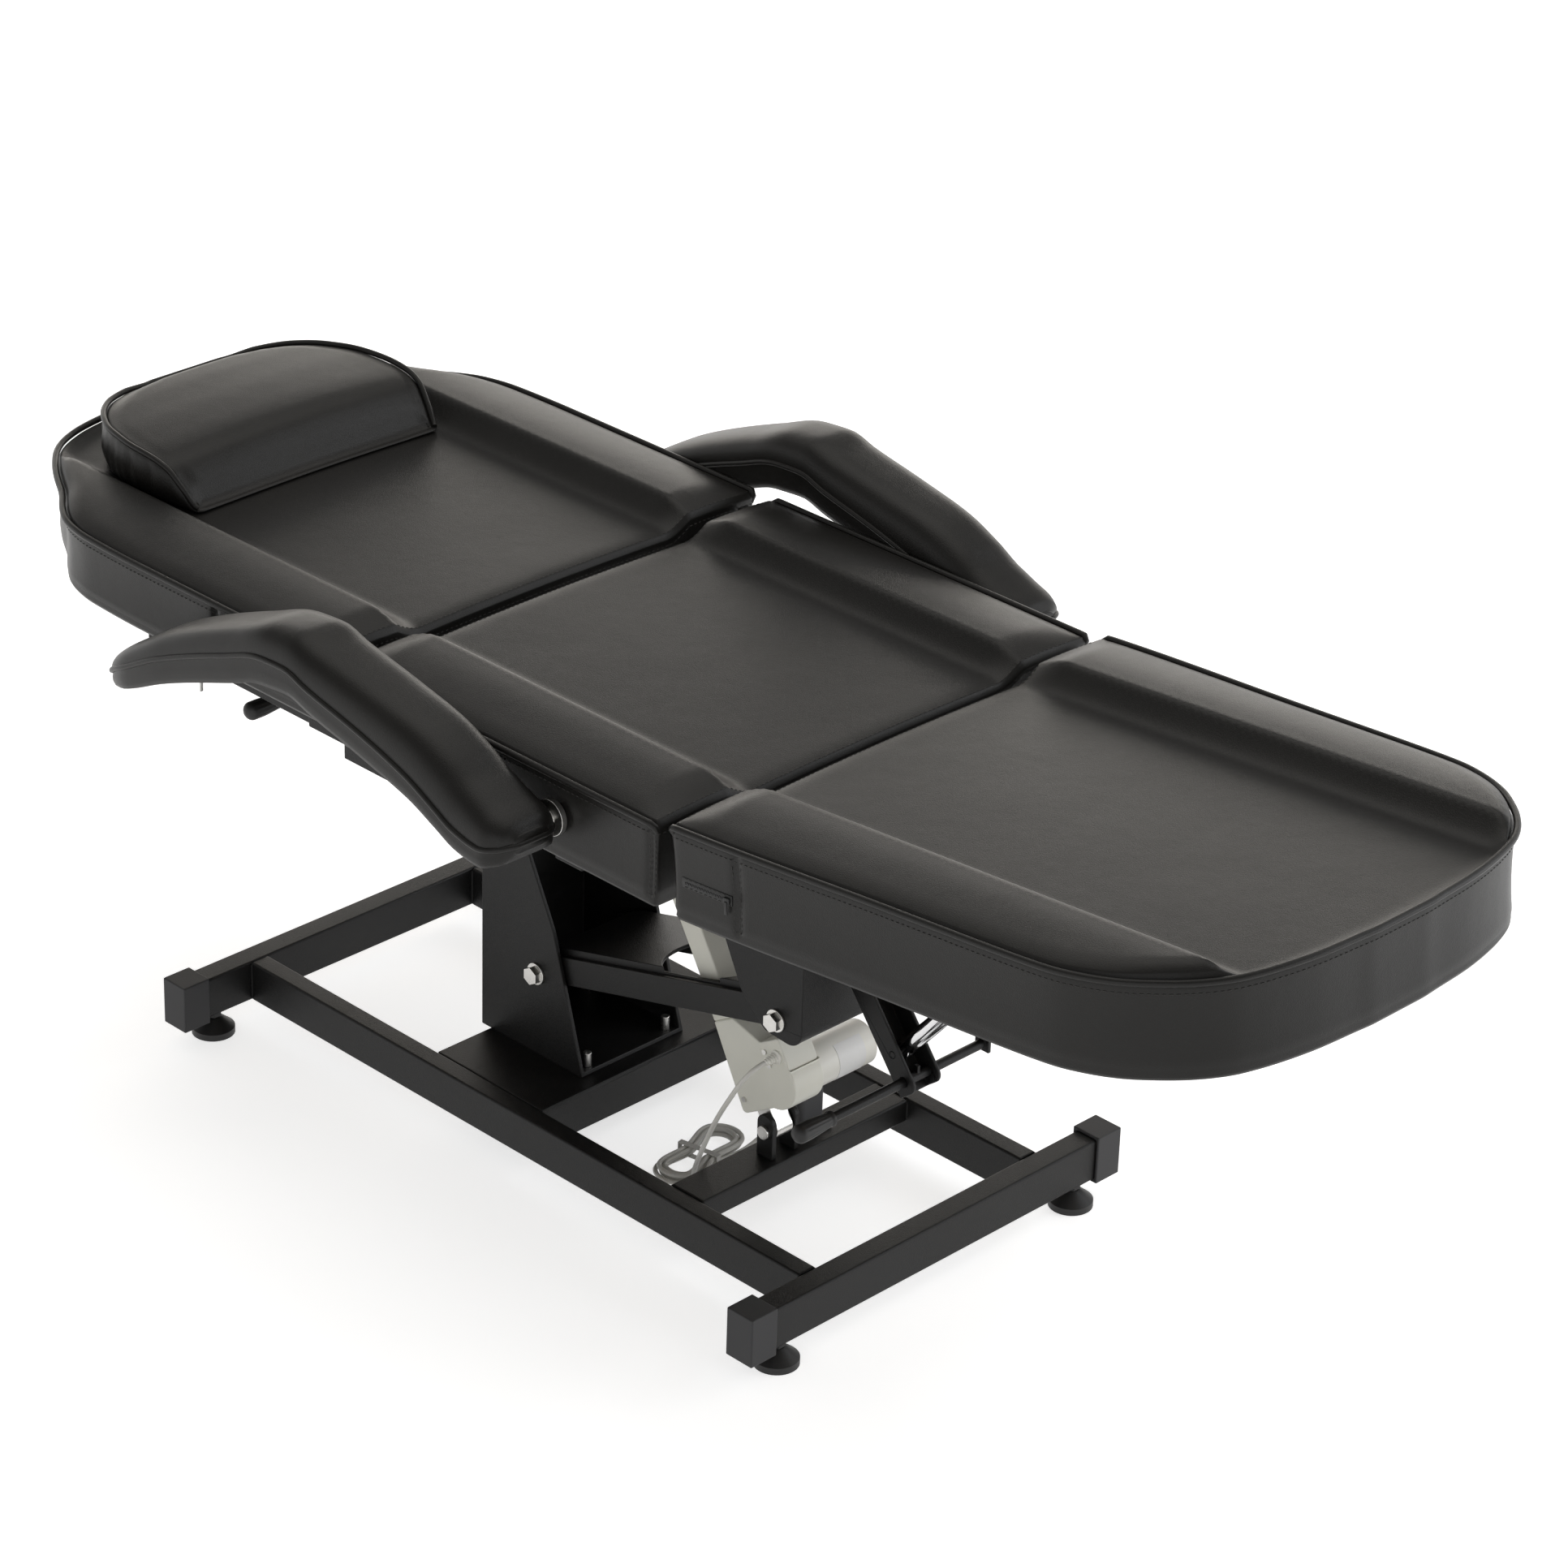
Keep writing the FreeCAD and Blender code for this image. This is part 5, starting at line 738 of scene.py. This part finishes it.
def armrestSection(along, middle):
    up, wide, crown, band = easedShares(armrest["shape"], along)
    y = armrest["hub"][0] - armrest["front"] + along * armrest["long"]
    line = armrest["hub"][1] + up * armrest["rise"]
    half, top, low = wide * armrest["wide"] / 2, crown * armrest["crown"], band * armrest["band"]
    found = []
    for n in range(25):                                   # crowned top, from the +x rim over to the -x rim
        angle = math.pi * n / 24
        x = math.copysign(abs(math.cos(angle)) ** 0.62, math.cos(angle)) * half
        found.append(Vector((middle + x, y, line + 0.001 + (math.sin(angle) ** 0.8) * top * 0.98)))
    for share, inset in armrest["wall"]:
        found.append(Vector((middle - half + inset, y, line - low * share)))
    for n in range(7):
        share = -1 + 2 * (n + 0.5) / 7
        found.append(Vector((middle + share * (half - armrest["underIn"]), y, line - low)))
    for share, inset in reversed(armrest["wall"]):
        found.append(Vector((middle + half - inset, y, line - low * share)))
    return found, y, line, half


def makeArmrest(name, side):
    middle = side * (armrest["in"] + armrest["wide"] / 2)
    nose, tail = armrest["noseTo"], armrest["tailFrom"]
    steps = [nose * (1 - math.cos(math.pi / 2 * n / 9)) for n in range(9)]
    steps += [nose + (tail - nose) * n / 60 for n in range(60)]
    steps += [1 - (1 - tail) * (1 - math.sin(math.pi / 2 * n / 12)) for n in range(13)]
    rings, left, right = [], [], []
    for along in steps:
        ring, y, line, half = armrestSection(along, middle)
        rings.append(ring)
        left.append(Vector((middle - half + 0.0002, y, line)))
        right.append(Vector((middle + half - 0.0002, y, line)))
    points, faces = stackRings(rings)
    cover = meshPiece(name + "Cover", points, faces, looks["leather"], name)
    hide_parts(name)
    loop = spread(left + list(reversed(right)), 0.005, 1)
    piping(name + "Piping", loop, armrest["pipe"], name)


def makePull(name, side):  # the slider and tab of the armrest cover's zip
    middle = side * (armrest["in"] + armrest["wide"] / 2)
    ring, y, _, _ = armrestSection(armrest["pullAt"], middle)
    low = min(p.z for p in ring)
    block(name + "Slider", (0.006, 0.009, 0.004), (middle, y, low - 0.0012), 0.0009, "zinc", name,
          segments=3)
    block(name + "Pull", (0.0045, 0.0014, 0.019), (middle, y, low - 0.0115), 0.0006, "zinc", name)


def makeArmrests():
    for name, side in (("left_armrest", -1), ("right_armrest", 1)):
        makeArmrest(name, side)
        makePull(name, side)
    print("armrests made")


# steel and cast parts: the frame's own shapes with their edges rounded
rounded = {
    0.0028: ("foot_cross_tube", "head_cross_tube", "side_rails", "drive_cross_tube"),
    0.0016: ("pillar_cross_members", "seat_frame", "leg_frame", "back_frame", "tube_end_caps"),
    0.0012: ("pillar", "seat_bracket", "arm_channel", "arm_side_bars", "upper_link", "drive_clevis",
             "drive_top_bracket", "leg_spring_holder", "control_box"),
    0.0022: ("gearbox_housing", "drive_column"),
    0.0010: ("drive_motor", "drive_tongue"),
    0.0006: ("pillar_studs", "lower_pivot_bolt", "bracket_pivot_bolt", "clevis_pin", "upper_pivot_shaft",
             "seat_link_shaft", "leg_lever", "back_lever", "leg_spring_cylinder", "leg_spring_rod",
             "back_spring_cylinder", "back_spring_rod", "piston_tube", "left_armrest_shaft",
             "right_armrest_shaft"),
}


def roundEdges(node, width):
    source = nodes[node]
    bpy.ops.object.select_all(action="DESELECT")
    piece = source.copy()
    piece.data = source.data.copy()
    piece.parent = None
    for key in list(piece.keys()):
        del piece[key]
    piece.name = node + "Rounded"
    bpy.context.scene.collection.objects.link(piece)
    piece.select_set(True)
    bpy.context.view_layer.objects.active = piece
    bpy.ops.object.mode_set(mode="EDIT")
    bpy.ops.mesh.select_all(action="SELECT")
    bpy.ops.mesh.remove_doubles(threshold=0.00001)
    bpy.ops.mesh.dissolve_limited(angle_limit=math.radians(0.6))
    bpy.ops.object.mode_set(mode="OBJECT")
    edge = piece.modifiers.new("edge", "BEVEL")
    edge.width, edge.segments, edge.limit_method = width, 3, "ANGLE"
    edge.angle_limit, edge.use_clamp_overlap = math.radians(38), False
    edge.miter_outer = "MITER_ARC"
    bpy.ops.object.modifier_apply(modifier="edge")
    bpy.ops.object.shade_smooth_by_angle(angle=math.radians(36))
    weigh = piece.modifiers.new("weigh", "WEIGHTED_NORMAL")
    weigh.keep_sharp = True
    bpy.ops.object.modifier_apply(modifier="weigh")
    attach(piece, body_of(source)[0])
    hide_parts(node)
    dress(piece, node)


def makeMetal():
    for width, names in rounded.items():
        for node in names:
            roundEdges(node, width)
    print("metal rounded")


slotOf = {part["node"]: part["material_slot"] for part in frame["record"]["subparts"]}
finishOf = {"frame_black": "powder", "zinc": "zinc", "chrome": "chrome", "drive_grey": "drive",
            "motor_grey": "motor", "box_grey": "box", "cap_grey": "cap", "foot_rubber": "rubber",
            "grip_rubber": "rubber", "pad_black": "leather", "board_wood": "wood",
            "cord_grey": "cord", "tie_white": "tie", "nut_white": "nut"}


def dress(piece, node):
    piece.data.materials.clear()
    piece.data.materials.append(looks[finishOf[slotOf[node]]])


looks = {
    "leather": leather(), "thread": thread(), "powder": powderCoat(), "zinc": zinc(), "chrome": chrome(),
    "wood": plywood(),
    "drive": castGrey("castHousing", (0.77, 0.77, 0.69), (0.84, 0.83, 0.75)),
    "motor": castGrey("motorPaint", (0.82, 0.81, 0.75), (0.88, 0.87, 0.81), 0.34),
    "box": moulded("boxPlastic", (0.055, 0.055, 0.058), (0.075, 0.075, 0.078)),
    "cap": moulded("capPlastic", (0.026, 0.026, 0.028), (0.036, 0.036, 0.038), 0.6),
    "rubber": moulded("blackRubber", (0.010, 0.010, 0.010), (0.016, 0.016, 0.016), 0.5),
    "cord": moulded("cordSheath", (0.68, 0.67, 0.63), (0.76, 0.75, 0.71), 0.4),
    "tie": moulded("tieNylon", (0.60, 0.59, 0.56), (0.68, 0.67, 0.64), 0.5),
    "label": moulded("barePaper", (0.80, 0.80, 0.79), (0.84, 0.84, 0.83), 0.4),
    "nut": moulded("nylon", (0.7, 0.69, 0.64), (0.76, 0.75, 0.7)),
}
for node, piece in nodes.items():
    dress(piece, node)


# the drive lead: down from the gland, tied up in a hank on the floor and up into the grey box
lead = {"radius": 0.00275, "length": 1.685, "gland": (-0.0575, -0.15031, 0.21367), "floor": 0.00435,
        "layer": 0.0061, "hank": (-0.009, 0.002), "turn": 10.7, "straight": 0.034, "inner": 0.0175,
        "step": 0.007, "waist": 0.0086, "middle": 0.007, "ends": (0.030625, 0.032375),
        "comes": (-0.014, 0.004), "goes": (0, 0.033),
        "fall": [(0, 0, 0), (-0.021, 0, 0), (-0.034, 0.009, -0.018), (-0.0385, 0.021, -0.042),
                 (-0.039, 0.039, -0.074), (-0.036, 0.0585, -0.114), (-0.029, 0.0783, -0.152),
                 (-0.0185, 0.0943, -0.180), (-0.0065, 0.1057, -0.1972)],
        "rise": [(0.0775, -0.0195, 0.0129), (0.0843, -0.0212, 0.0282), (0.0788, -0.0213, 0.0437),
                 (0.0788, -0.0213, 0.0617), (0.0729, -0.0213, 0.0775), (0.0627, -0.0264, 0.090),
                 (0.055, -0.040, 0.096), (0.055, -0.058, 0.096)]}


def hankSpot(step):  # eight steps go round a loop, two loops spiral in below and two spiral out above
    loopsIn = (16 - step) / 8 if step < 16 else max(0, step - 18) / 8
    wide = lead["inner"] + loopsIn * lead["step"]
    waist = lead["waist"] + loopsIn * lead["step"]
    place = step % 8
    if place < 1 or place > 7 or 3 < place < 5:
        side = -1 if place < 1 or place > 7 else 1
        x = lead["middle"] * (1 if (place > 7 or 4 < place < 5) else -1)
        y = side * waist
    else:
        end = -1 if place < 4 else 1
        angle = (place - (2 if end < 0 else 6)) * math.pi / 2
        reach = wide / 0.925
        x = end * (lead["straight"] + reach * math.cos(angle))
        y = reach * math.sin(angle) * (-end)
    up = lead["floor"] + lead["layer"] * smooth(step, 14.5, 19.5)
    turn = math.radians(lead["turn"])
    return Vector((lead["hank"][0] + x * math.cos(turn) - y * math.sin(turn),
                   lead["hank"][1] + x * math.sin(turn) + y * math.cos(turn), up))


def makeLead():
    gland = Vector(lead["gland"])
    low = Vector((0, 0, lead["floor"]))
    high = low + Vector((0, 0, lead["layer"]))
    route = [gland + Vector(step) for step in lead["fall"]]
    turn = math.radians(lead["turn"])
    along = Vector((math.cos(turn), math.sin(turn), 0))
    middle = Vector((*lead["hank"], 0))
    side = Vector((-math.sin(turn), math.cos(turn), 0))
    last = middle - along * lead["straight"] - side * lead["ends"][0]
    route += [last + along * far + high for far in lead["comes"]]
    loop = [7.8, 6.75, 6.25, 5.75, 5.25, 4.2, 3.8, 2.75, 2.25, 1.75, 1.25, 0.2]
    steps = [32.2] + [8 * turnNumber + place for turnNumber in (3, 2, 1, 0) for place in loop] + [-0.2]
    route += [hankSpot(step) for step in steps]
    first = middle + along * lead["straight"] - side * lead["ends"][1]
    route += [first + along * far + low for far in lead["goes"]]
    route += [Vector(spot) for spot in lead["rise"]]
    data = bpy.data.curves.new("driveLead", "CURVE")
    data.dimensions = "3D"
    spline = data.splines.new("NURBS")
    spline.points.add(len(route) - 1)
    for point, place in zip(spline.points, route):
        point.co = (*place, 1)
    spline.order_u = 3
    spline.use_endpoint_u = True
    spline.resolution_u = 8
    data.bevel_depth = lead["radius"]
    data.bevel_resolution = 4
    data.use_fill_caps = True
    data.materials.append(looks["cord"])
    piece = bpy.data.objects.new("driveLead", data)
    bpy.context.scene.collection.objects.link(piece)
    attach(piece, "base")
    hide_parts("cord_lead", "cord_hank", "cord_tail")
    print("drive lead laid,", len(route), "points")


plate = {"lean": 30.8, "pin": (-0.025, -0.134, 0.112), "half": 0.0225, "offset": 0.046, "along": 0.052,
         "radius": 0.026, "from": 0.030, "long": 0.040, "spread": 105, "middle": 205}


def makeLabel():  # a plain sheet wrapped round the motor
    lean = Matrix.Rotation(-math.radians(plate["lean"]), 4, "X")
    put = Matrix.Translation(plate["pin"]) @ lean
    rings = []
    for radius in (plate["radius"] + 0.0001, plate["radius"] + 0.0004):
        for side in ((0, 1) if radius < plate["radius"] + 0.0002 else (1, 0)):
            row = []
            for n in range(33):
                angle = math.radians(plate["middle"] + plate["spread"] * (n / 32 - 0.5))
                row.append(put @ Vector((plate["half"] + plate["from"] + side * plate["long"],
                                         -plate["offset"] + radius * math.cos(angle),
                                         plate["along"] + radius * math.sin(angle))))
            rings.append(row)
    points = [point for row in rings for point in row]
    faces = []
    for level in range(4):
        for n in range(32):
            faces.append((level * 33 + n, level * 33 + n + 1, (level + 1) % 4 * 33 + n + 1,
                          (level + 1) % 4 * 33 + n))
    faces += [(99, 66, 33, 0), (32, 65, 98, 131)]
    piece = meshPiece("motorLabel", points, faces, looks["label"], "drive_body")
    bpy.ops.object.shade_smooth_by_angle(angle=math.radians(30))
    print("plain sheet made")


grip = {"flutes": 14, "depth": 0.035, "taper": 0.24, "collar": 0.06,
        "of": {"leg_lever_grip": "leg_release", "back_lever_grip": "back_release"}}


def makeGrips():  # fluted handles, fullest near their rounded tips
    for node, body in grip["of"].items():
        low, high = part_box(node)
        middle, long, full = (low + high) / 2, high.x - low.x, (high.z - low.z) / 2
        rings = []
        for number in range(34):
            along = 0.5 * (1 - math.cos(math.pi * number / 33))
            dome = math.sqrt(max(0.02, 1 - (1 - min(1, along / 0.16)) ** 2))
            radius = full * dome * (1 - grip["taper"] * smooth(along, 0.3, 1))
            flute = grip["depth"] * smooth(along, 0.1, 0.3) * (1 - smooth(along, 0.82, 0.92))
            if along > 1 - grip["collar"]:
                radius *= 1.1
            ring = []
            for n in range(112):
                angle = 2 * math.pi * n / 112
                reach = radius * (1 - flute * (0.5 - 0.5 * math.cos(grip["flutes"] * angle)))
                ring.append(Vector((low.x + along * long, middle.y + reach * math.cos(angle),
                                    middle.z + reach * math.sin(angle))))
            rings.append(ring)
        points, faces = stackRings(rings)
        piece = meshPiece(node + "Fluted", points, faces, looks["rubber"], body)
        bpy.ops.object.shade_smooth_by_angle(angle=math.radians(45))
        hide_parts(node)
    print("grips made")


gland = {"root": 0.0066, "tip": 0.0038, "long": 0.020, "ribs": 4}


def makeGland():  # a tapered, ribbed strain relief where the lead leaves the drive
    low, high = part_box("cable_gland")
    root = Vector((high.x, *(Vector(lead["gland"]).yz)))
    long = root.x - lead["gland"][0] + gland["long"] * 0.4
    profile = [(gland["root"] * 1.25, 0), (gland["root"] * 1.25, 0.0025), (gland["root"], 0.0032)]
    for rib in range(gland["ribs"]):
        for share, dip in ((0.05, 1), (0.55, 1), (0.62, 0.84), (0.95, 0.84)):
            along = 0.004 + (long - 0.005) * (rib + share) / gland["ribs"]
            radius = gland["root"] + (gland["tip"] - gland["root"]) * along / long
            profile.append((radius * dip, along))
    profile += [(gland["tip"] * 0.86, long), (lead["radius"] * 0.9, long + 0.0005)]
    rings = []
    for radius, along in profile:
        rings.append([Vector((root.x - along, root.y + radius * math.cos(n * math.pi / 12),
                              root.z + radius * math.sin(n * math.pi / 12))) for n in range(24)])
    points, faces = stackRings(rings)
    piece = meshPiece("leadStrainRelief", points, faces, looks["motor"], "drive_body")
    bpy.ops.object.shade_smooth_by_angle(angle=math.radians(34))
    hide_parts("cable_gland")
    print("strain relief made")


# room and light
room = {"floor": 36, "pale": 0.9, "glow": 0.66, "horizon": 1.3, "zenith": 0.24}


def makeRoom():
    bpy.ops.mesh.primitive_plane_add(size=room["floor"], location=(0, 0, 0))
    floor = bpy.context.object
    floor.name = "paleFloor"
    made = Material("paleFloor", **{"Roughness": 0.9, "Specular IOR Level": 0.1})
    made.set("Base Color", made.blend(made.noise(0.6, 2), (room["pale"],) * 3, (room["pale"] + 0.01,) * 3))
    direct, glossy, through = (made.node("ShaderNodeLightPath", out=f"Is {ray} Ray")
                               for ray in ("Camera", "Glossy", "Transmission"))
    made.set("Emission Color", (1, 1, 1))
    made.set("Emission Strength", (direct + glossy + through) * room["glow"])
    floor.data.materials.append(made.data)
    lamps = [  # name, place, aims at, width, depth, watts, colour
        ("windowBehind", (3.3, 3.4, 1.35), (0, 0.1, 0.6), 6.0, 1.3, 44, (1, 0.93, 0.83)),
        ("ceilingSoft", (0.9, 0.9, 4.3), (0, 0, 0.4), 3.4, 3.4, 46, (1, 0.97, 0.92)),
        ("nearFill", (-4.4, -2.6, 2.4), (0, 0, 0.4), 3.2, 2.4, 19, (0.93, 0.96, 1)),
        ("footFill", (3.2, -1.9, 3.3), (0, 0.3, 0.5), 2.4, 2.0, 34, (0.95, 0.97, 1)),
        ("footLow", (3.4, -3.7, 1.25), (0, 0, 0.55), 3.2, 1.5, 46, (0.93, 0.96, 1)),
    ]
    for name, place, aim, wide, deep, power, tint in lamps:
        bpy.ops.object.light_add(type="AREA", location=place)
        lamp = bpy.context.object
        lamp.name = name
        lamp.data.color = tint
        lamp.data.shape, lamp.data.size, lamp.data.size_y, lamp.data.energy = "RECTANGLE", wide, deep, power
        lamp.rotation_euler = (Vector(aim) - Vector(place)).to_track_quat("-Z", "Y").to_euler()
    world = bpy.data.worlds.new("paleRoom")
    bpy.context.scene.world = world
    world.use_nodes = True
    sky, links = world.node_tree.nodes, world.node_tree.links
    way, split, rise = (sky.new(kind) for kind in
                        ("ShaderNodeTexCoord", "ShaderNodeSeparateXYZ", "ShaderNodeMapRange"))
    for socket, value in {"From Min": 0, "From Max": 0.5, "To Min": room["horizon"],
                          "To Max": room["zenith"]}.items():
        rise.inputs[socket].default_value = value
    links.new(way.outputs["Generated"], split.inputs[0])
    links.new(split.outputs["Z"], rise.inputs["Value"])
    links.new(rise.outputs["Result"], sky["Background"].inputs["Strength"])
    sky["Background"].inputs["Color"].default_value = (1, 0.99, 0.975, 1)


placeCamera()
makeRoom()
makeLead()
makePads()
makePillow()
makeArmrests()
makeZip()
makeMetal()
makeGland()
makeLabel()
makeGrips()
bpy.context.scene.view_settings.view_transform = "Standard"
